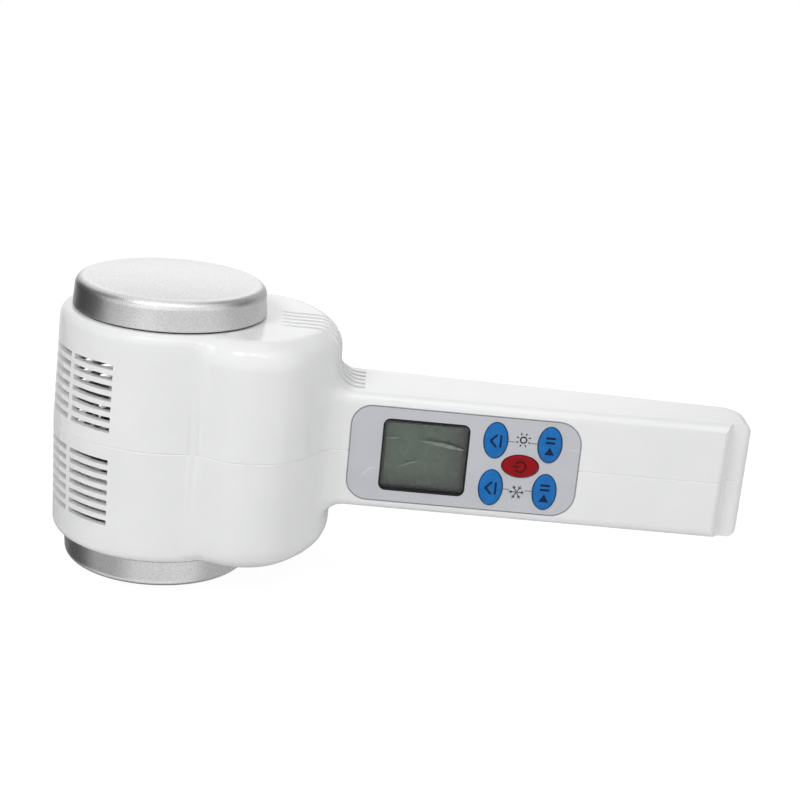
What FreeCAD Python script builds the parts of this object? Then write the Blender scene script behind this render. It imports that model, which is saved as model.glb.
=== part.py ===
import FreeCAD, Part
import math
import os
from FreeCAD import Vector as V

# Hand-held hot and cold therapy machine, in millimetres.
# X runs along the handle, from the vents (-X) to the tail (+X).
# Z is the axis of the head, with the warm plate up and the cold plate down.
# The panel faces -Y. The casing splits at z = 0.
# The sizes below are measured from the head's axis. main() moves every piece
# so that the origin is the middle of the whole machine.

# ---- casing ----
LOBE_R = 34.4            # front lobe of the head at the parting line
HEAD_TOP = 36.1          # half height of the head
DRAFT = 0.9              # how much each half draws in up to its end face
REAR_CORNER_R = 21.8     # rear lobe, corner arcs in plan
REAR_CORNER_X = 27.5
REAR_CORNER_Y = 14.8
REAR_END_X = 55.0        # rear lobe, end of the end arc
FRONT_EDGE_R = 3.2       # rounding of the front lobe's end edge
REAR_EDGE_R = 8.0        # rounding of the rear lobe's shoulder
WAIST_R = 9.0            # blend between the two lobes
NECK_R = 7.0             # blend between the head and the handle
WALL = 2.2               # side walls
END_WALL = 2.4           # end walls, panel wall and tail wall

HANDLE_FRONT_Y = -15.4
HANDLE_BACK_Y0 = 15.1    # back of the handle at HANDLE_BACK_X0
HANDLE_BACK_X0 = 60.0
HANDLE_TAPER = 0.0555    # how fast the back comes forward along X
HANDLE_HALF = 18.6       # half height of the handle
HANDLE_EDGE_R = 3.2
HANDLE_ROOT_X = 40.0     # hidden start of the handle, inside the head
TAIL_X = 183.5
TAIL_BAND = 8.5          # raised band at the tail end
TAIL_STEP_RUN = 1.9
TAIL_STEP_DEPTH = 4.1
TAIL_CORNER_R = 2.8
TAIL_BACK_CORNER_R = 8.5

# grip grooves over the rear shoulder
GROOVE_COUNT = 5
GROOVE_PITCH = 4.0
GROOVE_WIDTH = 2.0
GROOVE_DEPTH = 0.9
GROOVE_START_X = 34.0
GROOVE_RAMP = 7.0        # length over which each groove deepens
GROOVE_RUN = 0.4         # how far the grooves run past the neck's blend

# louvres at the front of the head
VENT_ROWS = 7
VENT_FIRST_Z = 5.1
VENT_PITCH = 3.27
VENT_HEIGHT = 1.7
VENT_OUTER_ANGLE = 68.5  # from the front (-X), to the outer end of the slots
VENT_RIB_ANGLE = 40.0    # centre of the side ribs
VENT_RIB_HALF = 1.6

# inner lip that centres the upper shell on the lower one
LIP_HEIGHT = 1.2
LIP_THICK = 0.9
LIP_ROOT = 2.0
LIP_GAP = 0.15

# ---- plates ----
PLATE_R = 30.0
PLATE_WALL = 2.6
PLATE_HEIGHT = 6.0       # straight wall
PLATE_DRAFT = 0.5
PLATE_SHOULDER = 3.1     # width and height of the rounded shoulder
PLATE_DOME = 1.9         # rise of the dome
PLATE_CAVITY = 5.0       # depth of the hollow under the plate
GASKET_THICK = 0.5
GASKET_INSET = 0.8
GASKET_WIDTH = 3.6
PLATE_LEDGE = 6.0        # how far each plate laps over the opening in its end wall

# ---- clamping under the plates ----
POST_EDGE = 4.0          # from the edge of the opening to the screws under a plate
POST_R = 2.8
SCREW_R = 1.4            # M3 core, in every metal thread
SCREW_HOLE_GAP = 0.05
SCREW_HEAD_R = 2.8
SCREW_HEAD_H = 2.2
FIT_GAP = 0.3            # round pieces that are not a fit
SLOT_GAP = 0.2

CLAMP_LAP = 4.0          # how far the clamp and the heatsink lap behind the end walls
CLAMP_FLANGE_T = 2.4
WARM_POST_LENGTH = 4.2
HEATER_R = 16.6
HEATER_T = 1.4
CLAMP_POCKET_DEPTH = 2.4
CLAMP_LEAD_HOLE_R = 6.5
CUTOUT_R = 5.0
CUTOUT_H = 5.0

TEC_SIDE = 30.0
TEC_CERAMIC = 0.8
TEC_PELLET_H = 2.0
TEC_PELLET = 1.4
TEC_PELLET_PITCH = 2.4
TEC_PELLET_ROWS = 12
COLD_POST_LENGTH = 7.1
SINK_BASE_T = 3.0
SINK_PEDESTAL = 30.4
FIN_T = 1.1
FIN_PITCH = 3.7
FIN_ROWS = 15
FIN_FIELD_R = 27.5
FIN_TIP_S = 11.5         # distance of the fin tips from the parting plane
PILLAR_R = 3.4
BUSH_R = 2.5
BUSH_FLANGE_R = 3.4
BUSH_FLANGE_T = 1.0
SENSOR_R = 1.1
SENSOR_X = -19.4
SENSOR_LENGTH = 4.0
COLLAR_GAP = 0.4

# ---- fan ----
FAN_SIDE = 40.0
FAN_THICK = 10.0
FAN_HOLE = 16.0          # screw holes from the axis
FAN_BORE_R = 18.8
FAN_TIP_GAP = 0.5
FAN_HUB_R = 11.0
FAN_HUB_WALL = 1.0
FAN_BLADES = 7
FAN_BLADE_T = 0.9
FAN_BLADE_PITCH = 52.0
FAN_PLATE_T = 1.4        # spider that carries the bearing
FAN_ROTOR_H = 7.0
FAN_SHAFT_R = 1.0
FAN_SHAFT_GAP = 0.04
FAN_BEARING_R = 2.6
FAN_TUBE_R = 3.6
FAN_STATOR_R = 8.2
FAN_MAGNET_T = 1.0
FAN_SCREW_LENGTH = 7.0

# ---- panel ----
LABEL_X0 = 59.2
LABEL_X1 = 130.6
LABEL_HALF = 15.4
LABEL_CORNER_L = 6.5
LABEL_CORNER_R = 7.5
LABEL_THICK = 0.4
LABEL_PROUD = 0.1
LCD_X = 82.6
LCD_W = 26.0
LCD_H = 22.1
LENS_RIM = 1.2
LENS_T = 1.5
GLASS_T = 1.1
GLASS_W = 29.4
GLASS_H = 26.8
REAR_GLASS_H = 21.0
FRAME_WALL = 1.2
ZEBRA_T = 1.8
KEY_A = 3.6              # blue keys, half width along X
KEY_B = 5.7              # blue keys, half height along Z
RED_A = 5.65
RED_B = 3.5
KEY_X0 = 104.1
KEY_X1 = 120.9
KEY_Z = 7.75
KEY_PROUD = 0.6
KEY_FLANGE = 0.9
KEY_FLANGE_T = 0.8
KEY_GAP = 0.3
KEY_TRAVEL = 0.4
SWITCH_SIDE = 6.0
SWITCH_H = 3.4
PLUNGER_R = 1.6
PLUNGER_PROUD = 1.0
PLUNGER_IN = 1.6         # how far the plunger reaches into its switch at rest
BOARD_T = 1.6
BOARD_X0 = 60.8
BOARD_X1 = 150.0
BOARD_HALF = 15.2
BOARD_BOSS_R = 2.4
BOARD_SCREW_R = 1.1
BOARD_BOSS_X = (63.4, 112.5, 147.0)
BOARD_BOSS_Z = 12.6
CHIP = (88.0, 10.0, 1.4)
BUZZER_X = 126.0
BUZZER_R = 5.0
BUZZER_H = 5.5

# ---- driver board in the rear lobe ----
DRIVER_X = 41.0
DRIVER_HALF_Y = 24.0
DRIVER_HALF_Z = 26.0
RAIL_T = 1.2
RAIL_REACH = 1.6
RAIL_GAP = 0.15
RAIL_CLEAR_Z = 2.0

# ---- casing screws ----
CASE_BOSS_R = 3.2        # upper shell
CASE_TUBE_WALL = 1.2     # around the sunk screw heads, lower shell
CASE_SINK_R = 3.1
CASE_FLOOR = 4.0         # plastic under each screw head
CASE_BITE = 9.0          # thread in the upper shell
CASE_HEAD_BOSS_X = 33.5
CASE_HEAD_BOSS_Y = 24.2
CASE_NECK_SCREW_X = 72.0
CASE_TAIL_SCREW = 23.5   # from the tail end

# ---- inlet in the tail ----
JACK_LENGTH = 13.0
JACK_W = 9.0
JACK_H = 11.0
JACK_NOSE_R = 4.1
JACK_BORE_R = 3.1
JACK_BORE_DEPTH = 9.5
JACK_PIN_R = 1.05
JACK_PIN_BACK = 0.8
JACK_RECESS = 0.2
JACK_GAP = 0.1
RIB_T = 1.5

# ---- leads ----
LEAD_R = 0.75
THIN_LEAD_R = 0.5
RIBBON_W = 10.0
RIBBON_T = 0.8

# ---- places that follow from the sizes above ----
TAIL_STEP_X = TAIL_X - TAIL_BAND
TAIL_BACK_Y = HANDLE_BACK_Y0 - HANDLE_TAPER * (TAIL_X - HANDLE_BACK_X0)
JACK_Y = round(0.5 * (HANDLE_FRONT_Y + TAIL_STEP_DEPTH + TAIL_BACK_Y), 1)
CASE_HANDLE_BOSS_X = (CASE_NECK_SCREW_X, TAIL_X - CASE_TAIL_SCREW)
OPENING_R = PLATE_R - PLATE_LEDGE
POST_CIRCLE_R = OPENING_R - POST_EDGE
CLAMP_FLANGE_R = OPENING_R + CLAMP_LAP
SINK_BASE_R = OPENING_R + CLAMP_LAP
END_INSIDE = HEAD_TOP - END_WALL
PLATE_BASE = HEAD_TOP + GASKET_THICK
PLATE_UNDER = PLATE_BASE + PLATE_CAVITY
PANEL_FLOOR = HANDLE_FRONT_Y - LABEL_PROUD + LABEL_THICK
PANEL_INSIDE = HANDLE_FRONT_Y + END_WALL
KEY_BACK = PANEL_INSIDE + KEY_FLANGE_T
SWITCH_FRONT = KEY_BACK + PLUNGER_PROUD
BOARD_FRONT = SWITCH_FRONT + SWITCH_H
BOARD_BACK = BOARD_FRONT + BOARD_T
CLAMP_TOP = PLATE_UNDER - WARM_POST_LENGTH
CLAMP_FLOOR = CLAMP_TOP - CLAMP_POCKET_DEPTH
CLAMP_UNDER = END_INSIDE - CLAMP_FLANGE_T
CLAMP_SEAT = END_INSIDE - 0.4
HEATER_UNDER = PLATE_UNDER - HEATER_T
HOT_FACE = PLATE_UNDER - 2 * TEC_CERAMIC - TEC_PELLET_H
SINK_UNDER = END_INSIDE - SINK_BASE_T
LEAD_Y = 2.5 * FIN_PITCH
FAN_BOTTOM = -FIN_TIP_S
FAN_TOP = FAN_BOTTOM + FAN_THICK
FAN_FLOOR = FAN_BOTTOM + FAN_PLATE_T
ROTOR_BOTTOM = FAN_FLOOR + 0.7
ROTOR_TOP = ROTOR_BOTTOM + FAN_ROTOR_H
HUB_UNDER = ROTOR_TOP - FAN_HUB_WALL
TUBE_TOP = FAN_FLOOR + 5.5
CAVITY_HALF = HANDLE_HALF - WALL
GLASS_FRONT = PANEL_INSIDE + 0.1
GLASS_BACK = GLASS_FRONT + GLASS_T
DRIVER_BACK = DRIVER_X + BOARD_T
JACK_BACK_X = TAIL_X - END_WALL - JACK_LENGTH
JACK_FRONT_X = TAIL_X - JACK_RECESS
MIDDLE_X = 0.5 * (TAIL_X - LOBE_R)
X = V(1, 0, 0)
Y = V(0, 1, 0)
Z = V(0, 0, 1)


# ---- small helpers ----
def box(x0, x1, y0, y1, z0, z1):
    return Part.makeBox(x1 - x0, y1 - y0, z1 - z0, V(x0, y0, z0))


def rod(radius, start, end):
    axis = end - start
    return Part.makeCylinder(radius, axis.Length, start, axis)


def ring(r_out, r_in, z0, z1):
    outer = rod(r_out, V(0, 0, z0), V(0, 0, z1))
    return outer.cut(rod(r_in, V(0, 0, z0 - 1), V(0, 0, z1 + 1)))


def fuse_all(shapes):
    first = shapes[0]
    if len(shapes) == 1:
        return first
    return first.multiFuse(list(shapes[1:])).removeSplitter()


def mirror_z(shape):
    return shape.mirror(V(0, 0, 0), Z)


def arc_edge(centre, radius, a0, a1):
    def at(angle):
        t = math.radians(angle)
        return centre + V(radius * math.cos(t), radius * math.sin(t), 0)
    return Part.Arc(at(a0), at(0.5 * (a0 + a1)), at(a1)).toShape()


def rounded_wire(points, radii, closed):
    """Straight runs through the points, with an arc of the given radius at each corner."""
    count = len(points)
    runs = []
    for i in range(count):
        corner = points[i]
        inner = closed or 0 < i < count - 1
        if not inner or radii[i] <= 0:
            runs.append((corner, None, corner))
            continue
        before = (points[i - 1] - corner).normalize()
        after = (points[(i + 1) % count] - corner).normalize()
        half = 0.5 * before.getAngle(after)
        back = radii[i] / math.tan(half)
        bisector = (before + after).normalize()
        middle = corner + bisector * (radii[i] / math.sin(half) - radii[i])
        runs.append((corner + before * back, middle, corner + after * back))
    edges = []
    for i in range(count):
        start, middle, end = runs[i]
        if middle is not None:
            edges.append(Part.Arc(start, middle, end).toShape())
        last = i == count - 1
        if last and not closed:
            break
        following = runs[(i + 1) % count][0]
        if (following - end).Length > 1e-6:
            edges.append(Part.makeLine(end, following))
    return Part.Wire(edges)


def prism(points, radii, along):
    wire = rounded_wire(points, radii, True)
    return Part.Face(wire).extrude(along)


def rounded_plate(x0, x1, half_z, radii, y0, y1):
    """Rectangle in the panel's plane, from depth y0 to y1."""
    points = [V(x0, y0, -half_z), V(x1, y0, -half_z), V(x1, y0, half_z), V(x0, y0, half_z)]
    return prism(points, radii, V(0, y1 - y0, 0))


def ellipse_rod(x, z, a, b, y0, y1):
    centre = V(x, y0, z)
    if a >= b:
        curve = Part.Ellipse(centre + X * a, centre + Z * b, centre)
    else:
        curve = Part.Ellipse(centre + Z * b, centre + X * a, centre)
    wire = Part.Wire([curve.toShape()])
    return Part.Face(wire).extrude(V(0, y1 - y0, 0))


def lead(points, bend, radius):
    path = rounded_wire(points, [bend] * len(points), False)
    tangent = points[1] - points[0]
    circle = Part.Wire([Part.makeCircle(radius, points[0], tangent)])
    return path.makePipeShell([circle], True, True)


def back_y(x):
    return HANDLE_BACK_Y0 - HANDLE_TAPER * (x - HANDLE_BACK_X0)


# ---- outside of one casing half ----
def rear_end_arc():
    """Centre along X and radius of the arc that is tangent to both corner arcs."""
    reach = REAR_END_X - REAR_CORNER_R - REAR_CORNER_X
    centre = REAR_CORNER_X - 0.5 * (REAR_CORNER_Y ** 2 - reach ** 2) / reach
    return centre, REAR_END_X - centre


def rear_wire(inset, z):
    end_x, end_r = rear_end_arc()
    turn = math.degrees(math.atan2(REAR_CORNER_Y, REAR_CORNER_X - end_x))
    radius = REAR_CORNER_R - inset
    top = V(REAR_CORNER_X, REAR_CORNER_Y, z)
    low = V(REAR_CORNER_X, -REAR_CORNER_Y, z)
    edges = [
        arc_edge(V(end_x, 0, z), end_r - inset, -turn, turn),
        arc_edge(top, radius, turn, 180),
        Part.makeLine(top - X * radius, low - X * radius),
        arc_edge(low, radius, 180, 360 - turn),
    ]
    return Part.Wire(edges)


def end_edges(shape, z, skip_x):
    found = []
    for edge in shape.Edges:
        bounds = edge.BoundBox
        flat = abs(bounds.ZMin - z) < 1e-4 and abs(bounds.ZMax - z) < 1e-4
        if flat and not (skip_x is not None and bounds.XMax < skip_x):
            found.append(edge)
    return found


def head_half(inset, top, front_edge, rear_edge):
    pull = DRAFT * top / HEAD_TOP
    front = Part.makeCone(LOBE_R - inset, LOBE_R - inset - pull, top)
    front = front.makeFillet(front_edge, end_edges(front, top, None))
    rear = Part.makeLoft([rear_wire(inset, 0), rear_wire(inset + pull, top)], True, True)
    left = REAR_CORNER_X - REAR_CORNER_R + inset + pull + 0.1
    rear = rear.makeFillet(rear_edge, end_edges(rear, top, left))
    return front.fuse(rear).removeSplitter()


def handle_half(front, inset, half, radius, tail_x, step_x, corner_r):
    x0 = HANDLE_ROOT_X
    x1 = tail_x + 10
    block = [V(x0, front, 0), V(x1, front, 0), V(x1, 60, 0), V(x0, 60, 0)]
    bar = prism(block, [0] * 4, V(0, 0, half))
    front_edges = [edge for edge in end_edges(bar, half, None) if edge.BoundBox.YMax < front + 1]
    bar = bar.makeFillet(radius, front_edges)
    step_y = front + TAIL_STEP_DEPTH
    plan = [
        V(x0, front, 0),
        V(step_x, front, 0),
        V(step_x + TAIL_STEP_RUN, step_y, 0),
        V(tail_x, step_y, 0),
        V(tail_x, 60, 0),
        V(x0, 60, 0),
    ]
    outline = prism(plan, [0, 2.0, 1.5, corner_r, 0, 0], V(0, 0, half))
    # back face, round back corner and end face share one rounded edge
    rear = [
        V(x0, -60, 0),
        V(tail_x, -60, 0),
        V(tail_x, back_y(tail_x) - inset, 0),
        V(x0, back_y(x0) - inset, 0),
    ]
    shell = prism(rear, [0, 0, TAIL_BACK_CORNER_R - inset, 0], V(0, 0, half))
    rear_edges = [
        edge for edge in end_edges(shell, half, None)
        if edge.BoundBox.XMax > x0 + 1 and edge.BoundBox.YMax > -59
    ]
    shell = shell.makeFillet(radius, rear_edges)
    return bar.common(outline).common(shell)


def waisted(head):
    """The head with its waist blended on one side, then mirrored over."""
    near = [edge for edge in waist_edges(head) if edge.valueAt(edge.FirstParameter).y > 0]
    side = head.makeFillet(WAIST_R, near)
    side = side.common(box(-2 * LOBE_R, 2 * REAR_END_X, 0, 2 * LOBE_R, -1, 2 * HEAD_TOP))
    return side.fuse(side.mirror(V(0, 0, 0), Y)).removeSplitter()


def outer_half():
    head = waisted(head_half(0, HEAD_TOP, FRONT_EDGE_R, REAR_EDGE_R))
    handle = handle_half(HANDLE_FRONT_Y, 0, HANDLE_HALF, HANDLE_EDGE_R, TAIL_X, TAIL_STEP_X,
                         TAIL_CORNER_R)
    body = head.fuse(handle).removeSplitter()
    return body.makeFillet(NECK_R, neck_edges(body))


def neck_edges(body):
    # where the rear lobe meets the faces of the handle
    found = []
    for edge in body.Edges:
        point = edge.valueAt(0.5 * (edge.FirstParameter + edge.LastParameter))
        across = abs(point.y) < abs(HANDLE_FRONT_Y) + 1
        along = REAR_END_X - 5 < point.x < REAR_END_X + 0.5
        if across and along and 1 < point.z < HANDLE_HALF + 0.5:
            found.append(edge)
    return found


def waist_edges(body):
    # where the front lobe meets the rear lobe
    found = []
    for edge in body.Edges:
        point = edge.valueAt(0.5 * (edge.FirstParameter + edge.LastParameter))
        radius = math.hypot(point.x, point.y)
        across = abs(point.y) > REAR_CORNER_Y and radius > LOBE_R - DRAFT - FRONT_EDGE_R
        along = 0.25 * REAR_CORNER_X < point.x < 0.6 * REAR_CORNER_X
        if across and along and 1 < point.z < HEAD_TOP - 0.5:
            found.append(edge)
    return found


def cavity_half():
    head = head_half(WALL, END_INSIDE, FRONT_EDGE_R - WALL, REAR_EDGE_R - WALL)
    handle = handle_half(PANEL_INSIDE, WALL, CAVITY_HALF, HANDLE_EDGE_R - WALL,
                         TAIL_X - END_WALL, TAIL_STEP_X - END_WALL, TAIL_CORNER_R - WALL)
    return head.fuse(handle).removeSplitter()


def groove_cutters():
    centre, radius = rear_end_arc()
    end_x = REAR_END_X + NECK_R + GROOVE_RUN
    cutters = []
    for i in range(GROOVE_COUNT):
        y = (i - 0.5 * (GROOVE_COUNT - 1)) * GROOVE_PITCH
        y0 = y - 0.5 * GROOVE_WIDTH
        high_x = centre + math.sqrt(radius ** 2 - y ** 2) - DRAFT
        low_x = high_x + DRAFT * (1 - HANDLE_HALF / HEAD_TOP)
        d = GROOVE_DEPTH
        out = 1.0
        points = [
            V(GROOVE_START_X, y0, HEAD_TOP),
            V(GROOVE_START_X + GROOVE_RAMP, y0, HEAD_TOP - d),
            V(high_x - d, y0, HEAD_TOP - d),
            V(low_x - d, y0, HANDLE_HALF - d),
            V(end_x, y0, HANDLE_HALF - d),
            V(end_x, y0, HANDLE_HALF + out),
            V(low_x + out, y0, HANDLE_HALF + out),
            V(high_x + out, y0, HEAD_TOP + out),
            V(GROOVE_START_X, y0, HEAD_TOP + out),
        ]
        radii = [0, 0, REAR_EDGE_R - d, NECK_R + d, 0, 0, NECK_R - out, REAR_EDGE_R + out, 0]
        cutters.append(prism(points, radii, Y * GROOVE_WIDTH))
    return cutters


def vent_cutters():
    inner = VENT_RIB_HALF
    columns = (
        (inner, VENT_RIB_ANGLE - VENT_RIB_HALF),
        (VENT_RIB_ANGLE + VENT_RIB_HALF, VENT_OUTER_ANGLE),
    )
    cutters = []
    for row in range(VENT_ROWS):
        z = VENT_FIRST_Z + row * VENT_PITCH - 0.5 * VENT_HEIGHT
        for near_angle, far_angle in columns:
            sweep = far_angle - near_angle
            sector = Part.makeCylinder(LOBE_R + 2, VENT_HEIGHT, V(0, 0, z), Z, sweep)
            sector = sector.cut(rod(LOBE_R - WALL - 2, V(0, 0, z - 1), V(0, 0, z + VENT_HEIGHT + 1)))
            one = sector.copy()
            one.rotate(V(0, 0, 0), Z, 180 - far_angle)
            two = sector.copy()
            two.rotate(V(0, 0, 0), Z, 180 + near_angle)
            cutters += [one, two]
    return cutters


def key_places():
    """Name, x, z, half width and half height of each key."""
    return (
        ("warm_set", KEY_X0, KEY_Z, KEY_A, KEY_B),
        ("warm_start", KEY_X1, KEY_Z, KEY_A, KEY_B),
        ("hold", 0.5 * (KEY_X0 + KEY_X1), 0.0, RED_A, RED_B),
        ("cool_set", KEY_X0, -KEY_Z, KEY_A, KEY_B),
        ("cool_start", KEY_X1, -KEY_Z, KEY_A, KEY_B),
    )


def label_blank(grow, y0, y1):
    radii = [LABEL_CORNER_L + grow, LABEL_CORNER_R + grow, LABEL_CORNER_R + grow, LABEL_CORNER_L + grow]
    return rounded_plate(LABEL_X0 - grow, LABEL_X1 + grow, LABEL_HALF + grow, radii, y0, y1)


def lcd_blank(half_w, half_h, corner, y0, y1):
    return rounded_plate(LCD_X - half_w, LCD_X + half_w, half_h, [corner] * 4, y0, y1)


def panel_cutters():
    cutters = [label_blank(SLOT_GAP, HANDLE_FRONT_Y - 2, PANEL_FLOOR)]
    half_w = 0.5 * LCD_W + LENS_RIM + FIT_GAP
    half_h = 0.5 * LCD_H + LENS_RIM + FIT_GAP
    cutters.append(lcd_blank(half_w, half_h, 1.0, HANDLE_FRONT_Y - 1, PANEL_INSIDE + 1))
    for name, x, z, a, b in key_places():
        cutters.append(ellipse_rod(x, z, a + KEY_GAP, b + KEY_GAP, HANDLE_FRONT_Y - 1, PANEL_INSIDE + 1))
    return cutters


def jack_cutter():
    """Hole for the inlet's nose, and room for its body in the rounded corner of the tail."""
    start = V(TAIL_X - END_WALL - 1, JACK_Y, 0)
    side = 0.5 * JACK_W + JACK_GAP
    room = box(JACK_BACK_X, TAIL_X - END_WALL, JACK_Y - side, JACK_Y + side, -0.5 * JACK_H, 0.5 * JACK_H)
    return room.fuse(rod(JACK_NOSE_R + JACK_GAP, start, V(TAIL_X + 1, JACK_Y, 0)))


def opening_cutter():
    return rod(OPENING_R, V(0, 0, END_INSIDE - 1), V(0, 0, HEAD_TOP + 1))


# ---- fixings inside the casing ----
def case_bosses():
    """Centre of each casing screw."""
    places = [V(CASE_HEAD_BOSS_X, CASE_HEAD_BOSS_Y, 0), V(CASE_HEAD_BOSS_X, -CASE_HEAD_BOSS_Y, 0)]
    for x in CASE_HANDLE_BOSS_X:
        y = back_y(x) - WALL - CASE_SINK_R - CASE_TUBE_WALL + 0.2
        places.append(V(x, y, 0))
    return places


def boss_height(place):
    return END_INSIDE + 0.5 if place.x < REAR_END_X else CAVITY_HALF + 0.5


def driver_rails():
    parts = []
    for side in (-1, 1):
        near_y = side * (DRIVER_HALF_Y - RAIL_REACH)
        far_y = side * (DRIVER_HALF_Y + 4.5)
        block = box(DRIVER_X - RAIL_T - RAIL_GAP, DRIVER_BACK + RAIL_T + RAIL_GAP,
                    min(near_y, far_y), max(near_y, far_y), RAIL_CLEAR_Z, END_INSIDE + 0.5)
        parts.append(block)
    slot = box(DRIVER_X - RAIL_GAP, DRIVER_BACK + RAIL_GAP, -DRIVER_HALF_Y - RAIL_GAP,
               DRIVER_HALF_Y + RAIL_GAP, -1, DRIVER_HALF_Z + RAIL_GAP)
    return [part.cut(slot) for part in parts]


def board_bosses():
    return [rod(BOARD_BOSS_R, V(x, PANEL_INSIDE - 0.5, BOARD_BOSS_Z), V(x, BOARD_FRONT, BOARD_BOSS_Z))
            for x in BOARD_BOSS_X]


def jack_ribs():
    y0 = JACK_Y - 0.5 * JACK_W
    y1 = JACK_Y + 0.5 * JACK_W
    top = CAVITY_HALF + 0.5
    cradle_a = box(JACK_BACK_X + 2, JACK_BACK_X + 2 + RIB_T, y0, y1, 0.5 * JACK_H, top)
    cradle_b = box(JACK_BACK_X + 9, JACK_BACK_X + 9 + RIB_T, y0, y1, 0.5 * JACK_H, top)
    stop = box(JACK_BACK_X - RIB_T, JACK_BACK_X, y1 - 3, y1, RIB_T, top)
    return [cradle_a, cradle_b, stop]


def plan_prism(inset, z0, z1):
    disc = rod(LOBE_R - inset, V(0, 0, z0), V(0, 0, z1))
    lobe = Part.Face(rear_wire(inset, z0)).extrude(V(0, 0, z1 - z0))
    return disc.fuse(lobe)


def lip():
    inner = WALL + LIP_GAP + LIP_THICK
    stand = plan_prism(WALL + LIP_GAP, -0.1, LIP_HEIGHT).cut(plan_prism(inner, -1, LIP_HEIGHT + 1))
    root = plan_prism(WALL - 0.1, -LIP_ROOT, 0).cut(plan_prism(inner, -LIP_ROOT - 1, 1))
    band = stand.fuse(root)
    neck = box(REAR_END_X - 9, REAR_END_X + 5, -17, 17, -LIP_ROOT - 1, LIP_HEIGHT + 1)
    band = band.cut(neck)
    for place in case_bosses():
        band = band.cut(rod(CASE_BOSS_R + FIT_GAP, place, place + Z * (LIP_HEIGHT + 1)))
    return band


def make_upper_shell(outer, cavity):
    shell = outer.cut(cavity)
    ribs = driver_rails() + jack_ribs()
    ribs += [rod(CASE_BOSS_R, place, place + Z * boss_height(place)) for place in case_bosses()]
    ribs = [rib.common(outer) for rib in ribs] + board_bosses()
    shell = fuse_all([shell] + ribs)
    cutters = groove_cutters() + vent_cutters() + panel_cutters()
    cutters += [jack_cutter(), opening_cutter()]
    for place in case_bosses():
        depth = CASE_BITE + 1
        cutters.append(rod(SCREW_R + SCREW_HOLE_GAP, place - Z, place + Z * depth))
    for x in BOARD_BOSS_X:
        bottom = V(x, BOARD_FRONT - 4.2, BOARD_BOSS_Z)
        cutters.append(rod(BOARD_SCREW_R + SCREW_HOLE_GAP, bottom, V(x, BOARD_FRONT + 1, BOARD_BOSS_Z)))
    return shell.cut(Part.Compound(cutters))


def make_lower_shell(outer, cavity):
    shell = mirror_z(outer.cut(cavity))
    low_outer = mirror_z(outer)
    tube_r = CASE_SINK_R + CASE_TUBE_WALL
    ribs = [mirror_z(rib) for rib in driver_rails() + jack_ribs()]
    ribs += [rod(tube_r, place, place - Z * boss_height(place)) for place in case_bosses()]
    ribs = [rib.common(low_outer) for rib in ribs] + [mirror_z(boss) for boss in board_bosses()]
    shell = fuse_all([shell] + ribs + [lip()])
    cutters = [mirror_z(cut) for cut in groove_cutters() + vent_cutters()] + panel_cutters()
    cutters += [jack_cutter(), mirror_z(opening_cutter())]
    for place in case_bosses():
        seat = place - Z * CASE_FLOOR
        cutters.append(rod(SCREW_R + FIT_GAP, seat - Z, place + Z))
        cutters.append(rod(CASE_SINK_R, place - Z * (HEAD_TOP + 1), seat))
    return shell.cut(Part.Compound(cutters))


def pan_screw(place, along, length, radius, head_r, head_h):
    """Shank runs from place along the given direction; the head sits behind place."""
    shank = rod(radius, place, place + along * length)
    head = rod(head_r, place - along * head_h, place)
    slot_w = 0.32 * head_r
    across = along.cross(V(0.3, 0.5, 0.8)).normalize()
    reach = across * (0.7 * head_r)
    base = place - along * head_h
    cross = []
    for direction in (reach, along.cross(reach)):
        side = along.cross(direction).normalize() * (0.5 * slot_w)
        corners = [base - direction - side, base + direction - side, base + direction + side,
                   base - direction + side, base - direction - side]
        cross.append(Part.Face(Part.makePolygon(corners)).extrude(along * (0.55 * head_h)))
    return head.fuse(shank).removeSplitter().cut(Part.Compound(cross))


def make_casing_screws():
    length = CASE_FLOOR + CASE_BITE
    return [pan_screw(place - Z * CASE_FLOOR, Z, length, SCREW_R, SCREW_HEAD_R, SCREW_HEAD_H)
            for place in case_bosses()]


# ---- plates and what is clamped under them ----
def on_circle(radius, angles, z):
    return [V(radius * math.cos(math.radians(a)), radius * math.sin(math.radians(a)), z) for a in angles]


WARM_ANGLES = (45, 135, 225, 315)
COLD_ANGLES = (0, 90, 180, 270)


def plate_body():
    top = PLATE_BASE + PLATE_HEIGHT
    wall_r = PLATE_R - PLATE_DRAFT
    dome_r = wall_r - PLATE_SHOULDER
    rim = top + 0.95 * PLATE_SHOULDER
    crown = rim + PLATE_DOME
    shoulder_mid = V(wall_r - 0.27 * PLATE_SHOULDER, 0, top + 0.69 * PLATE_SHOULDER)
    sphere_r = 0.5 * (dome_r ** 2 + PLATE_DOME ** 2) / PLATE_DOME
    half_turn = 0.5 * math.asin(dome_r / sphere_r)
    dome_mid = V(sphere_r * math.sin(half_turn), 0, crown - sphere_r * (1 - math.cos(half_turn)))
    inner_r = PLATE_R - PLATE_WALL
    edges = [
        Part.makeLine(V(inner_r, 0, PLATE_BASE), V(PLATE_R, 0, PLATE_BASE)),
        Part.makeLine(V(PLATE_R, 0, PLATE_BASE), V(wall_r, 0, top)),
        Part.Arc(V(wall_r, 0, top), shoulder_mid, V(dome_r, 0, rim)).toShape(),
        Part.Arc(V(dome_r, 0, rim), dome_mid, V(0, 0, crown)).toShape(),
        Part.makeLine(V(0, 0, crown), V(0, 0, PLATE_UNDER)),
        Part.makeLine(V(0, 0, PLATE_UNDER), V(inner_r, 0, PLATE_UNDER)),
        Part.makeLine(V(inner_r, 0, PLATE_UNDER), V(inner_r, 0, PLATE_BASE)),
    ]
    return Part.Face(Part.Wire(edges)).revolve(V(0, 0, 0), Z, 360)


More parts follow.
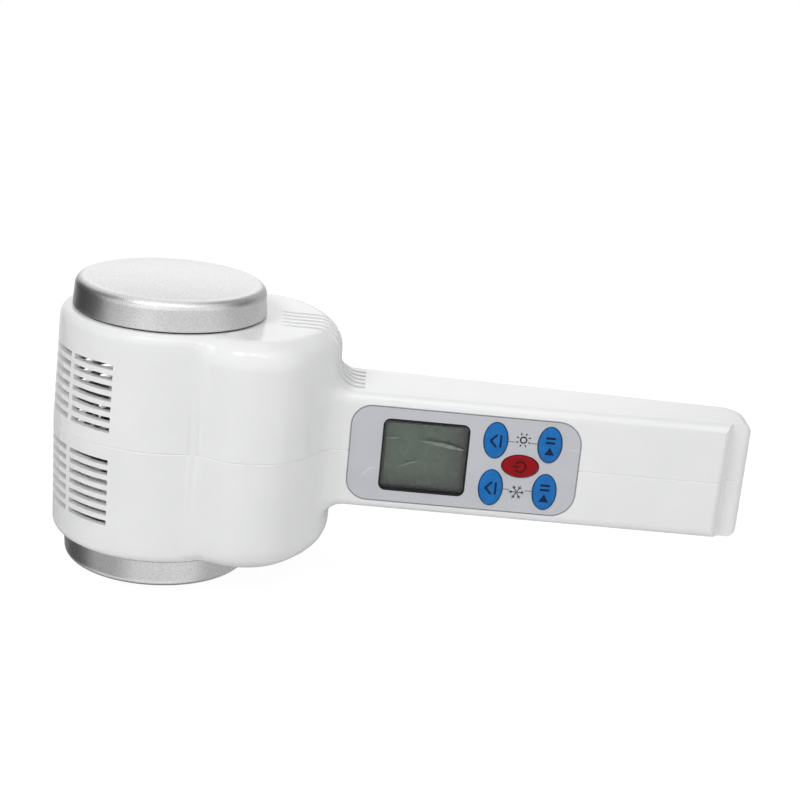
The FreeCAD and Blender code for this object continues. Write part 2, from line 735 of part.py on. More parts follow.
def make_plate(angles, post_length):
    plate = plate_body()
    end = PLATE_UNDER - post_length
    posts = [rod(POST_R, p, V(p.x, p.y, PLATE_UNDER + 0.5)) for p in on_circle(POST_CIRCLE_R, angles, end)]
    plate = fuse_all([plate] + posts)
    for p in on_circle(POST_CIRCLE_R, angles, end - 1):
        plate = plate.cut(rod(SCREW_R + SCREW_HOLE_GAP, p, V(p.x, p.y, PLATE_UNDER - 1)))
    return plate


def make_gasket():
    outer = PLATE_R - GASKET_INSET
    return ring(outer, outer - GASKET_WIDTH, HEAD_TOP, PLATE_BASE)


def make_warm_clamp():
    flange = rod(CLAMP_FLANGE_R, V(0, 0, CLAMP_UNDER), V(0, 0, END_INSIDE))
    plateau = rod(OPENING_R - FIT_GAP, V(0, 0, CLAMP_UNDER), V(0, 0, CLAMP_TOP))
    clamp = flange.fuse(plateau).removeSplitter()
    clamp = clamp.cut(rod(HEATER_R + FIT_GAP, V(0, 0, CLAMP_FLOOR), V(0, 0, CLAMP_TOP + 1)))
    clamp = clamp.cut(rod(CLAMP_LEAD_HOLE_R, V(0, 0, CLAMP_UNDER - 1), V(0, 0, CLAMP_TOP)))
    for p in on_circle(POST_CIRCLE_R, WARM_ANGLES, CLAMP_UNDER - 1):
        clamp = clamp.cut(rod(SCREW_R + FIT_GAP, p, V(p.x, p.y, CLAMP_TOP + 1)))
        clamp = clamp.cut(rod(SCREW_HEAD_R + FIT_GAP, p, V(p.x, p.y, CLAMP_SEAT)))
    passage = V(SENSOR_X, LEAD_Y, CLAMP_UNDER - 1)
    return clamp.cut(rod(THIN_LEAD_R + FIT_GAP, passage, V(SENSOR_X, LEAD_Y, CLAMP_TOP + 1)))


def make_warm_clamp_screws():
    length = PLATE_UNDER - 1.3 - CLAMP_SEAT
    return [pan_screw(p, Z, length, SCREW_R, SCREW_HEAD_R, SCREW_HEAD_H)
            for p in on_circle(POST_CIRCLE_R, WARM_ANGLES, CLAMP_SEAT)]


def make_heater_disc():
    return rod(HEATER_R, V(0, 0, HEATER_UNDER), V(0, 0, PLATE_UNDER))


def make_heater_felt():
    return ring(HEATER_R, CUTOUT_R + FIT_GAP, CLAMP_FLOOR, HEATER_UNDER)


def make_thermal_cutout():
    return rod(CUTOUT_R, V(0, 0, HEATER_UNDER - CUTOUT_H), V(0, 0, HEATER_UNDER))


def make_warm_sensor():
    bead = rod(SENSOR_R, V(SENSOR_X, LEAD_Y, CLAMP_TOP), V(SENSOR_X, LEAD_Y, PLATE_UNDER))
    path = [V(SENSOR_X, LEAD_Y, CLAMP_TOP + 0.5), V(SENSOR_X, LEAD_Y, 28), V(26, LEAD_Y, 28),
            V(DRIVER_X - 6, LEAD_Y, 23)]
    return bead.fuse(lead(path, 5.0, THIN_LEAD_R)).removeSplitter()


def make_cold_sensor():
    top = -PLATE_UNDER
    bead = rod(SENSOR_R, V(SENSOR_X, LEAD_Y, top), V(SENSOR_X, LEAD_Y, top + SENSOR_LENGTH))
    path = [V(SENSOR_X, LEAD_Y, top + SENSOR_LENGTH - 0.5), V(SENSOR_X, LEAD_Y, -18),
            V(DRIVER_X - 6, LEAD_Y, -18)]
    return bead.fuse(lead(path, 5.0, THIN_LEAD_R)).removeSplitter()


def square(side, s0, s1):
    half = 0.5 * side
    return box(-half, half, -half, half, -s1, -s0)


def make_tec_ceramics():
    cold = square(TEC_SIDE, PLATE_UNDER - TEC_CERAMIC, PLATE_UNDER)
    hot = square(TEC_SIDE, HOT_FACE, HOT_FACE + TEC_CERAMIC)
    return [cold, hot]


def make_tec_pellets():
    pellets = []
    offset = 0.5 * (TEC_PELLET_ROWS - 1) * TEC_PELLET_PITCH
    low = -(HOT_FACE + TEC_CERAMIC + TEC_PELLET_H)
    for i in range(TEC_PELLET_ROWS):
        for j in range(TEC_PELLET_ROWS):
            if i == TEC_PELLET_ROWS - 1 and j in (0, TEC_PELLET_ROWS - 1):
                continue
            x = i * TEC_PELLET_PITCH - offset - 0.5 * TEC_PELLET
            y = j * TEC_PELLET_PITCH - offset - 0.5 * TEC_PELLET
            pellets.append(Part.makeBox(TEC_PELLET, TEC_PELLET, TEC_PELLET_H, V(x, y, low)))
    return pellets


def tec_lead_path(side):
    y = side * LEAD_Y
    level = -(HOT_FACE + TEC_CERAMIC + 0.5 * TEC_PELLET_H)
    return [V(0.5 * TEC_SIDE - 0.6, y, level), V(19.0, y, level), V(19.0, y, -23.5),
            V(DRIVER_X - 6, y, -23.5)]


def tec_lead(side, radius):
    path = tec_lead_path(side)
    wire = rounded_wire(path, [0, 2.4, 5.0, 0], False)
    circle = Part.Wire([Part.makeCircle(radius, path[0], X)])
    return wire.makePipeShell([circle], True, True)


def make_tec_leads():
    return [tec_lead(-1, LEAD_R), tec_lead(1, LEAD_R)]


def make_cold_foam_collar():
    collar = rod(OPENING_R - FIT_GAP, V(0, 0, -PLATE_UNDER), V(0, 0, -END_INSIDE))
    collar = collar.cut(square(SINK_PEDESTAL + 2 * COLLAR_GAP, END_INSIDE - 1, PLATE_UNDER + 1))
    for p in on_circle(POST_CIRCLE_R, COLD_ANGLES, -PLATE_UNDER - 1):
        collar = collar.cut(rod(POST_R + FIT_GAP, p, V(p.x, p.y, -END_INSIDE + 1)))
    bead = V(SENSOR_X, LEAD_Y, -PLATE_UNDER - 1)
    collar = collar.cut(rod(SENSOR_R + FIT_GAP, bead, V(SENSOR_X, LEAD_Y, -END_INSIDE + 1)))
    for side in (-1, 1):
        collar = collar.cut(tec_lead(side, LEAD_R + FIT_GAP))
    return collar


def cold_screw_places(z):
    return on_circle(POST_CIRCLE_R, COLD_ANGLES, z)


def make_heatsink():
    shapes = [rod(SINK_BASE_R, V(0, 0, -END_INSIDE), V(0, 0, -SINK_UNDER))]
    shapes.append(square(SINK_PEDESTAL, END_INSIDE - 0.5, HOT_FACE))
    field = rod(FIN_FIELD_R, V(0, 0, -SINK_UNDER - 0.5), V(0, 0, FAN_BOTTOM))
    for row in range(FIN_ROWS):
        y = (row - 0.5 * (FIN_ROWS - 1)) * FIN_PITCH
        fin = box(-30, 30, y - 0.5 * FIN_T, y + 0.5 * FIN_T, -SINK_UNDER - 0.5, FAN_BOTTOM)
        shapes.append(fin.common(field))
    sink = fuse_all(shapes)
    for p in cold_screw_places(-SINK_UNDER):
        sink = sink.cut(rod(SCREW_HEAD_R + 1.4, p, V(p.x, p.y, FAN_BOTTOM + 1)))
    pillars = []
    for sx in (-1, 1):
        for sy in (-1, 1):
            foot = V(sx * FAN_HOLE, sy * FAN_HOLE, -SINK_UNDER - 0.5)
            pillars.append(rod(PILLAR_R, foot, V(foot.x, foot.y, FAN_BOTTOM)))
    sink = fuse_all([sink] + pillars)
    cuts = []
    for p in cold_screw_places(-END_INSIDE - 1):
        cuts.append(rod(BUSH_R + 0.1, p, V(p.x, p.y, -SINK_UNDER + 1)))
    for pillar in fan_screw_places(FAN_BOTTOM - FAN_SCREW_LENGTH):
        cuts.append(rod(SCREW_R + SCREW_HOLE_GAP, pillar, V(pillar.x, pillar.y, FAN_BOTTOM + 1)))
    for side in (-1, 1):
        cuts.append(tec_lead(side, LEAD_R + FIT_GAP))
    bead = V(SENSOR_X, LEAD_Y, -END_INSIDE - 1)
    cuts.append(rod(THIN_LEAD_R + FIT_GAP, bead, V(SENSOR_X, LEAD_Y, -SINK_UNDER + 1)))
    return sink.cut(Part.Compound(cuts))


def make_cold_screw_bushings():
    bushes = []
    for p in cold_screw_places(-END_INSIDE):
        sleeve = rod(BUSH_R, p, V(p.x, p.y, -SINK_UNDER))
        flange = rod(BUSH_FLANGE_R, V(p.x, p.y, -SINK_UNDER), V(p.x, p.y, -SINK_UNDER + BUSH_FLANGE_T))
        bore = rod(SCREW_R + SLOT_GAP, V(p.x, p.y, -END_INSIDE - 1), V(p.x, p.y, -SINK_UNDER + 3))
        bushes.append(sleeve.fuse(flange).removeSplitter().cut(bore))
    return bushes


def make_cold_clamp_screws():
    seat = -SINK_UNDER + BUSH_FLANGE_T
    length = PLATE_UNDER - 1.3 + seat
    return [pan_screw(p, V(0, 0, -1), length, SCREW_R, SCREW_HEAD_R, SCREW_HEAD_H)
            for p in cold_screw_places(seat)]


# ---- fan ----
def fan_screw_places(z):
    return [V(sx * FAN_HOLE, sy * FAN_HOLE, z) for sx in (-1, 1) for sy in (-1, 1)]


def make_fan_frame():
    half = 0.5 * FAN_SIDE
    corners = [V(-half, -half, FAN_BOTTOM), V(half, -half, FAN_BOTTOM), V(half, half, FAN_BOTTOM),
               V(-half, half, FAN_BOTTOM)]
    frame = prism(corners, [3.0] * 4, V(0, 0, FAN_THICK))
    frame = frame.cut(rod(FAN_BORE_R, V(0, 0, FAN_BOTTOM - 1), V(0, 0, FAN_TOP + 1)))
    spider = [rod(FAN_HUB_R + 0.5, V(0, 0, FAN_BOTTOM), V(0, 0, FAN_FLOOR))]
    for angle in (45, 135, 225, 315):
        strut = box(FAN_HUB_R - 1, FAN_BORE_R + 0.6, -1.2, 1.2, FAN_BOTTOM, FAN_FLOOR)
        strut.rotate(V(0, 0, 0), Z, angle)
        spider.append(strut)
    tube = ring(FAN_TUBE_R, FAN_BEARING_R + SCREW_HOLE_GAP, FAN_FLOOR, TUBE_TOP)
    frame = fuse_all([frame] + spider + [tube])
    for p in fan_screw_places(FAN_BOTTOM - 1):
        frame = frame.cut(rod(SCREW_R + FIT_GAP, p, V(p.x, p.y, FAN_TOP + 1)))
    return frame


def make_fan_screws():
    length = FAN_THICK + FAN_SCREW_LENGTH - 1.0
    return [pan_screw(p, V(0, 0, -1), length, SCREW_R, SCREW_HEAD_R, 0.6 * SCREW_HEAD_H)
            for p in fan_screw_places(FAN_TOP)]


def make_fan_bearing():
    return ring(FAN_BEARING_R, FAN_SHAFT_R + FAN_SHAFT_GAP, FAN_FLOOR, TUBE_TOP)


def make_fan_stator():
    low = FAN_FLOOR + 1.1
    high = TUBE_TOP - 0.2
    core = ring(5.2, FAN_TUBE_R + SCREW_HOLE_GAP, low, high)
    shapes = [core]
    for angle in (0, 90, 180, 270):
        arm = box(4.6, FAN_STATOR_R - 0.6, -1.3, 1.3, low, high)
        coil = box(5.6, 7.0, -2.2, 2.2, low - 0.4, high)
        shoe = ring(FAN_STATOR_R, FAN_STATOR_R - 1.0, low, high)
        shoe = shoe.common(box(0, FAN_STATOR_R + 1, -3.6, 3.6, low - 1, high + 1))
        pole = fuse_all([arm, coil, shoe])
        pole.rotate(V(0, 0, 0), Z, angle)
        shapes.append(pole)
    return fuse_all(shapes)


def make_fan_rotor():
    cup = rod(FAN_HUB_R, V(0, 0, ROTOR_BOTTOM), V(0, 0, ROTOR_TOP))
    hollow = rod(FAN_HUB_R - FAN_HUB_WALL, V(0, 0, ROTOR_BOTTOM - 1), V(0, 0, HUB_UNDER))
    cup = cup.cut(hollow)
    boss = rod(2.2 * FAN_SHAFT_R, V(0, 0, TUBE_TOP + FIT_GAP), V(0, 0, ROTOR_TOP - 0.2))
    cup = cup.fuse(boss).removeSplitter()
    cup = cup.cut(rod(FAN_SHAFT_R + 0.02, V(0, 0, TUBE_TOP - 1), V(0, 0, HUB_UNDER + 0.4)))
    tip_r = FAN_BORE_R - FAN_TIP_GAP
    sweep = ring(tip_r, FAN_HUB_R - 0.3, ROTOR_BOTTOM, ROTOR_TOP)
    middle = 0.5 * (ROTOR_BOTTOM + ROTOR_TOP)
    blades = []
    for i in range(FAN_BLADES):
        blade = box(FAN_HUB_R - 1, tip_r + 2, -8, 8, -0.5 * FAN_BLADE_T, 0.5 * FAN_BLADE_T)
        blade.rotate(V(0, 0, 0), X, FAN_BLADE_PITCH)
        blade.translate(V(0, 0, middle))
        blade.rotate(V(0, 0, 0), Z, i * 360.0 / FAN_BLADES)
        blades.append(blade.common(sweep))
    return fuse_all([cup] + blades)


def make_fan_magnet():
    outer = FAN_HUB_R - FAN_HUB_WALL - SCREW_HOLE_GAP
    return ring(outer, outer - FAN_MAGNET_T, ROTOR_BOTTOM + 0.3, HUB_UNDER)


def make_fan_shaft():
    return rod(FAN_SHAFT_R, V(0, 0, FAN_FLOOR + 0.2), V(0, 0, HUB_UNDER + 0.4))


# ---- panel and control board ----
def make_panel_label():
    y0 = HANDLE_FRONT_Y - LABEL_PROUD
    label = label_blank(0, y0, PANEL_FLOOR)
    cutters = [lcd_blank(0.5 * LCD_W, 0.5 * LCD_H, 1.2, y0 - 1, PANEL_FLOOR + 1)]
    for name, x, z, a, b in key_places():
        cutters.append(ellipse_rod(x, z, a + KEY_GAP, b + KEY_GAP, y0 - 1, PANEL_FLOOR + 1))
    return label.cut(Part.Compound(cutters))


def make_lcd_lens():
    return lcd_blank(0.5 * LCD_W + LENS_RIM, 0.5 * LCD_H + LENS_RIM, 0.8, PANEL_FLOOR, PANEL_FLOOR + LENS_T)


def make_lcd_front_glass():
    half_w = 0.5 * GLASS_W
    half_h = 0.5 * GLASS_H
    return box(LCD_X - half_w, LCD_X + half_w, GLASS_FRONT, GLASS_BACK, -half_h, half_h)


def make_lcd_rear_glass():
    half_w = 0.5 * GLASS_W
    half_h = 0.5 * REAR_GLASS_H
    return box(LCD_X - half_w, LCD_X + half_w, GLASS_BACK, GLASS_BACK + GLASS_T, -half_h, half_h)


def make_zebra_strips():
    far = 0.5 * GLASS_H - 0.1
    strip = box(LCD_X - 14, LCD_X + 14, GLASS_BACK, BOARD_FRONT, far - ZEBRA_T, far)
    return [strip, mirror_z(strip)]


def make_lcd_frame():
    in_w = 0.5 * GLASS_W + SLOT_GAP
    in_h = 0.5 * GLASS_H + SLOT_GAP
    outer = lcd_blank(in_w + FRAME_WALL, in_h + FRAME_WALL, 1.0, GLASS_FRONT, BOARD_FRONT)
    inner = box(LCD_X - in_w, LCD_X + in_w, GLASS_FRONT - 1, BOARD_FRONT + 1, -in_h, in_h)
    return outer.cut(inner)


def make_key(x, z, a, b):
    front = HANDLE_FRONT_Y - LABEL_PROUD - KEY_PROUD
    cap = ellipse_rod(x, z, a, b, front, KEY_BACK)
    rim = [edge for edge in cap.Edges if abs(edge.BoundBox.YMax - front) < 1e-4]
    cap = cap.makeFillet(0.35, rim)
    flange = ellipse_rod(x, z, a + KEY_FLANGE, b + KEY_FLANGE, PANEL_INSIDE, KEY_BACK)
    return cap.fuse(flange).removeSplitter()


def make_plunger(x, z):
    return rod(PLUNGER_R, V(x, KEY_BACK, z), V(x, SWITCH_FRONT + PLUNGER_IN, z))


def make_switch_bodies():
    half = 0.5 * SWITCH_SIDE
    bodies = []
    for name, x, z, a, b in key_places():
        body = box(x - half, x + half, SWITCH_FRONT, BOARD_FRONT, z - half, z + half)
        bottom = SWITCH_FRONT + PLUNGER_IN + KEY_TRAVEL + FIT_GAP
        bore = rod(PLUNGER_R + FIT_GAP, V(x, SWITCH_FRONT - 1, z), V(x, bottom, z))
        bodies.append(body.cut(bore))
    return bodies


def make_control_board():
    board = box(BOARD_X0, BOARD_X1, BOARD_FRONT, BOARD_BACK, -BOARD_HALF, BOARD_HALF)
    for x in BOARD_BOSS_X:
        start = V(x, BOARD_FRONT - 1, BOARD_BOSS_Z)
        board = board.cut(rod(BOARD_SCREW_R + FIT_GAP, start, V(x, BOARD_BACK + 1, BOARD_BOSS_Z)))
    return board


def make_control_screws():
    return [pan_screw(V(x, BOARD_BACK, BOARD_BOSS_Z), V(0, -1, 0), BOARD_T + 3.8, BOARD_SCREW_R, 2.1, 1.5)
            for x in BOARD_BOSS_X]


def make_control_chip():
    x, side, height = CHIP
    half = 0.5 * side
    return box(x - half, x + half, BOARD_BACK, BOARD_BACK + height, -half, half)


def make_buzzer():
    can = rod(BUZZER_R, V(BUZZER_X, BOARD_BACK, 0), V(BUZZER_X, BOARD_BACK + BUZZER_H, 0))
    top = BOARD_BACK + BUZZER_H
    return can.cut(rod(1.0, V(BUZZER_X, top - 1.5, 0), V(BUZZER_X, top + 1, 0)))


# ---- driver board ----
def make_driver_board():
    return box(DRIVER_X, DRIVER_BACK, -DRIVER_HALF_Y, DRIVER_HALF_Y, -DRIVER_HALF_Z, DRIVER_HALF_Z)


def make_driver_inductor():
    start = V(DRIVER_BACK, -9.0, 15.0)
    drum = rod(6.0, start, start + X * 5.5)
    waist = rod(7.0, start + X * 1.2, start + X * 4.3).cut(rod(5.2, start, start + X * 5.5))
    return drum.cut(waist)


def make_driver_capacitors():
    return [rod(4.0, V(DRIVER_BACK, y, -15.0), V(DRIVER_BACK + 6.5, y, -15.0)) for y in (-9.0, 1.0)]


def make_driver_transistors():
    return [box(DRIVER_BACK, DRIVER_BACK + 2.3, 8, 14.5, z - 3, z + 3) for z in (12.0, 20.0)]


def make_board_connectors():
    x0 = DRIVER_X - 6
    return [
        box(x0, DRIVER_X, -9, 9, 5.5, 12.5),
        box(x0, DRIVER_X, -12, 12, -25.5, -21.5),
        box(x0, DRIVER_X, 6.5, 12, -20, -16),
        box(x0, DRIVER_X, 6.5, 12, 21, 25),
        box(x0, DRIVER_X, -16, -10, -9, -4),
    ]


# ---- inlet ----
def make_dc_jack():
    body = box(JACK_BACK_X, TAIL_X - END_WALL, JACK_Y - 0.5 * JACK_W, JACK_Y + 0.5 * JACK_W,
               -0.5 * JACK_H, 0.5 * JACK_H)
    nose = rod(JACK_NOSE_R, V(TAIL_X - END_WALL - 1, JACK_Y, 0), V(JACK_FRONT_X, JACK_Y, 0))
    jack = body.fuse(nose).removeSplitter()
    floor_x = JACK_FRONT_X - JACK_BORE_DEPTH
    return jack.cut(rod(JACK_BORE_R, V(floor_x, JACK_Y, 0), V(JACK_FRONT_X + 1, JACK_Y, 0)))


def make_dc_jack_pin():
    floor_x = JACK_FRONT_X - JACK_BORE_DEPTH
    return rod(JACK_PIN_R, V(floor_x, JACK_Y, 0), V(JACK_FRONT_X - JACK_PIN_BACK, JACK_Y, 0))


# ---- leads ----
def make_heater_leads():
    leads = []
    for side in (-1, 1):
        path = [V(0, 3 * side, HEATER_UNDER - CUTOUT_H), V(0, 3 * side, 25), V(-14, 21 * side, 19),
                V(-14, 21 * side, 9), V(DRIVER_X - 14, 6 * side, 9), V(DRIVER_X - 6, 6 * side, 9)]
        leads.append(lead(path, 3.5, LEAD_R))
    return leads


def make_fan_leads():
    z = FAN_BOTTOM + 5
    half = 0.5 * FAN_SIDE
    return [lead([V(half, y, z), V(DRIVER_X - 6, y, z)], 0, THIN_LEAD_R) for y in (-13.6, -12.2)]


def supply_lead(side):
    z = 3.0 * side
    path = [V(JACK_BACK_X, JACK_Y - 2.5, z), V(150, JACK_Y - 2.5, z), V(138, 2.4, z), V(60, 2.4, z),
            V(52, 9, z), V(DRIVER_BACK, 9, z)]
    return lead(path, 5.0, LEAD_R)


def make_display_ribbon():
    y = BOARD_BACK + 0.5 * RIBBON_T
    points = [V(70, y, 0), V(57, y, 0), V(50, 2, 0), V(DRIVER_BACK, 2, 0)]
    path = rounded_wire(points, [0, 3.0, 3.0, 0], False)
    w = 0.5 * RIBBON_W
    t = 0.5 * RIBBON_T
    corners = [V(70, y - t, -w), V(70, y + t, -w), V(70, y + t, w), V(70, y - t, w), V(70, y - t, -w)]
    return path.makePipeShell([Part.makePolygon(corners)], True, True)


def all_parts():
    outer = outer_half()
    cavity = cavity_half()
    warm = make_plate(WARM_ANGLES, WARM_POST_LENGTH)
    parts = {
        "upper_shell": make_upper_shell(outer, cavity),
        "lower_shell": make_lower_shell(outer, cavity),
        "casing_screws": make_casing_screws(),
        "warm_plate": warm,
        "plate_gaskets": [make_gasket(), mirror_z(make_gasket())],
        "warm_clamp": make_warm_clamp(),
        "warm_clamp_screws": make_warm_clamp_screws(),
        "heater_disc": make_heater_disc(),
        "heater_felt": make_heater_felt(),
        "thermal_cutout": make_thermal_cutout(),
        "warm_sensor": make_warm_sensor(),
        "cold_plate": mirror_z(make_plate(COLD_ANGLES, COLD_POST_LENGTH)),
        "tec_ceramics": make_tec_ceramics(),
        "tec_pellets": make_tec_pellets(),
        "cold_foam_collar": make_cold_foam_collar(),
        "heatsink": make_heatsink(),
        "cold_screw_bushings": make_cold_screw_bushings(),
        "cold_clamp_screws": make_cold_clamp_screws(),
        "cold_sensor": make_cold_sensor(),
        "fan_frame": make_fan_frame(),
        "fan_screws": make_fan_screws(),
        "fan_bearing": make_fan_bearing(),
        "fan_stator": make_fan_stator(),
        "fan_rotor": make_fan_rotor(),
        "fan_magnet": make_fan_magnet(),
        "fan_shaft": make_fan_shaft(),
        "panel_label": make_panel_label(),
        "lcd_lens": make_lcd_lens(),
        "lcd_front_glass": make_lcd_front_glass(),
        "lcd_rear_glass": make_lcd_rear_glass(),
        "lcd_frame": make_lcd_frame(),
        "zebra_strips": make_zebra_strips(),
        "switch_bodies": make_switch_bodies(),
        "control_board": make_control_board(),
        "control_screws": make_control_screws(),
        "control_chip": make_control_chip(),
        "buzzer": make_buzzer(),
        "driver_board": make_driver_board(),
        "driver_inductor": make_driver_inductor(),
        "driver_capacitors": make_driver_capacitors(),
        "driver_transistors": make_driver_transistors(),
        "board_connectors": make_board_connectors(),
        "dc_jack": make_dc_jack(),
        "dc_jack_pin": make_dc_jack_pin(),
        "heater_leads": make_heater_leads(),
        "tec_leads": make_tec_leads(),
        "fan_leads": make_fan_leads(),
        "supply_leads": [supply_lead(1), supply_lead(-1)],
        "display_ribbon": make_display_ribbon(),
    }
    for name, x, z, a, b in key_places():
        parts["key_" + name] = make_key(x, z, a, b)
        parts["plunger_" + name] = make_plunger(x, z)
    return parts


def main():
    os.makedirs("parts", exist_ok=True)
    for name, shape in all_parts().items():
        if isinstance(shape, list):
            shape = Part.Compound(shape)
        shape.translate(V(-MIDDLE_X, 0, 0))
        shape.exportStep("parts/" + name + ".step")


main()
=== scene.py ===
import math

import bmesh
import bpy
import numpy as np
from mathutils import Matrix, Vector

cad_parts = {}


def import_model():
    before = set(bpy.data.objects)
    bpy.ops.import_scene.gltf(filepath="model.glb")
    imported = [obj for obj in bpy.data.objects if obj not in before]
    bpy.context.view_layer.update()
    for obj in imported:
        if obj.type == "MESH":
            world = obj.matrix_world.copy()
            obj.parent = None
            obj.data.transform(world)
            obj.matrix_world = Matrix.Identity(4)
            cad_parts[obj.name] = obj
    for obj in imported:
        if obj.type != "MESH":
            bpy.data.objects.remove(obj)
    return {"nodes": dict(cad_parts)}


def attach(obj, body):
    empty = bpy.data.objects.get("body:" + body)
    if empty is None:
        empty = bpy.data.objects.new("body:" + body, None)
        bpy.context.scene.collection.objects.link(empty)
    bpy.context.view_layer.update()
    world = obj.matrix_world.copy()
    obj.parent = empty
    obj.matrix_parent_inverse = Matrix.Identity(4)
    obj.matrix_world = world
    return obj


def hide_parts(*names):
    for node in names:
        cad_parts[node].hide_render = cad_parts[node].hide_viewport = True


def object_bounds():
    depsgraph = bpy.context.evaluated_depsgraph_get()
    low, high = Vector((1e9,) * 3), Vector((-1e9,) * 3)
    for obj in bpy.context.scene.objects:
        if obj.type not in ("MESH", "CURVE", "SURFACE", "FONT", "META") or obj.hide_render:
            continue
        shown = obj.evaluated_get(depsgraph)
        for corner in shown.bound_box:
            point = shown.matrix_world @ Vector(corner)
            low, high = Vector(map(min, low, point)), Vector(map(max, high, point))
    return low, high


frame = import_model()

cad_low, cad_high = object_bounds()
NODES = frame["nodes"]
MM = 0.001
HEAD_X = -74.55          # the head's axis, in millimetres along the machine

# ---- sizes of the casing, in millimetres from the head's axis ----
LOBE_R = 34.4
HEAD_TOP = 36.1
DRAFT = 0.9
REAR_CORNER_R = 21.8
REAR_CORNER_X = 27.5
REAR_CORNER_Y = 14.8
REAR_END_X = 55.0
FRONT_EDGE_R = 3.2
REAR_EDGE_R = 8.0
WAIST_R = 9.0
NECK_R = 7.0
HANDLE_FRONT_Y = -15.4
HANDLE_BACK_Y0 = 15.1
HANDLE_BACK_X0 = 60.0
HANDLE_TAPER = 0.0555
HANDLE_HALF = 18.6
HANDLE_EDGE_R = 3.2
SEAM_HIGH = 0.28         # fine chamfer along the parting line
SEAM_DEEP = 0.22
SKIN_NEAR = 0.3          # a point this near the outer skin lies on it
SKIN_END_X = 66.0        # the head and its neck end here
NORMALS_AGREE = 0.90     # least cosine between a face and the skin
TAIL_FROM_X = 170.0
TAIL_MIDDLE = (174.0, -1.5)
INLET_FROM_X = 181.0
INLET_HALF = 4.4

# ---- plates ----
PLATE_R = 30.0
PLATE_BASE = 36.6
PLATE_TOP = 42.6         # end of the straight wall
PLATE_DRAFT = 0.5
PLATE_SHOULDER = 3.1
PLATE_DOME = 1.9
PLATE_WALL = 2.6
PLATE_UNDER = 41.6
PLATE_BEVEL = 0.25       # broken edge at the foot of the wall
SHOULDER_RISE = 0.95     # the shoulder's height and its middle point, as shares of PLATE_SHOULDER
SHOULDER_MIDDLE = (0.27, 0.69)

# ---- panel ----
LABEL_FACE = -15.5
LABEL_X0 = 59.2
LABEL_X1 = 130.6
LABEL_HALF = 15.4
LABEL_CORNER_L = 6.5
LABEL_CORNER_R = 7.5
LCD_X = 82.6
LCD_W = 26.0
LCD_H = 22.1
LENS_FRONT = -15.1
LENS_BACK = -13.6
LENS_RIM = 1.2
LENS_BEVEL = 0.12
LENS_CORNER_R = 0.8
KEY_BACK = -12.2
KEY_FLANGE_FRONT = -13.0
KEY_FRONT = -16.1
KEY_CROWN = 0.12
KEY_FLANGE = 0.9
KEY_ROUND = ((0.0, 0.55), (-0.06, 0.32), (-0.18, 0.15), (-0.38, 0.03))    # rim: outward and back
INK_RISE = 0.02          # ink stands this far off the surface
INK_ROOT = 0.05          # and reaches this far into it
LABEL_LINE = (0.04, 0.22)             # insets of the label's thin outline
WINDOW_CORNER_R = 1.2
WINDOW_PRINT = (0.48, 0.70, 2.3)      # black print beyond the window along X and Z, and its corner
WINDOW_SLEEVE = 0.08                  # ink on the window's cut edge
BORDER_INSIDE = (0.85, 1.10, 0.95)    # display border inside the window at low X, high X, and along Z
BORDER_CORNER_R = 1.3
DISPLAY_SHADE_Z = (-10.8, -4.0)        # painted shade: the display's lower end darkens over this height
DISPLAY_SHADE_X = (5.0, 12.5)          # and painted shade darkens its end toward the keys over this width
KEYS = {                              # place along X and Z, and half sizes
    "warm_set": (104.1, 7.75, 3.6, 5.7),
    "warm_start": (120.9, 7.75, 3.6, 5.7),
    "hold": (112.5, 0.0, 5.65, 3.5),
    "cool_set": (104.1, -7.75, 3.6, 5.7),
    "cool_start": (120.9, -7.75, 3.6, 5.7),
}

# ---- casing screws ----
SCREW_PLACES = ((33.5, 24.2), (33.5, -24.2), (72.0, 8.334), (160.0, 3.45))    # X and Y
SCREW_SEAT_Z = -4.0
SCREW_R = 1.4
SCREW_HEAD_R = 2.8
SCREW_HEAD_H = 2.2
SCREW_LENGTH = 13.0
RECESS_WIDTH = 0.8
RECESS_DEPTH = 1.2


def place(x, y, z):
    """A point given from the head's axis in millimetres, in the frame in metres."""
    return Vector(((x + HEAD_X) * MM, y * MM, z * MM))


# ---- camera and light ----
CAMERA_PLACE = (59.80, -530.77, 178.83)    # millimetres from the head's axis
CAMERA_TURN = -0.0264                      # radians
CAMERA_RISE = 0.3026
CAMERA_ROLL = -0.0988
FOCAL_PIXELS = 1762.05                     # for a frame 800 pixels wide
FRAME_PIXELS = 800.0
SENSOR_WIDTH = 36.0
LAMPS = (                # name, place, aim and size in metres, watts
    ("key_softbox", (-0.75, -0.75, 0.95), (-0.03, 0.0, 0.0), (0.60, 0.45), 7.2),
    ("top_softbox", (0.45, -0.40, 1.05), (0.0, 0.0, 0.0), (0.90, 0.55), 4.0),
    ("back_softbox", (-0.25, 1.10, 0.25), (0.0, 0.0, 0.0), (0.80, 0.50), 3.0),
    ("side_softbox", (0.20, -1.15, 0.05), (0.03, 0.0, 0.0), (0.60, 0.45), 1.0),
)
FLOOR_HALF = 3.0
FLOOR_GAP = 0.0002
WORLD_LEVEL = 0.46
FLOOR_WHITE = 0.86
GLOSS_LEVEL = 0.80
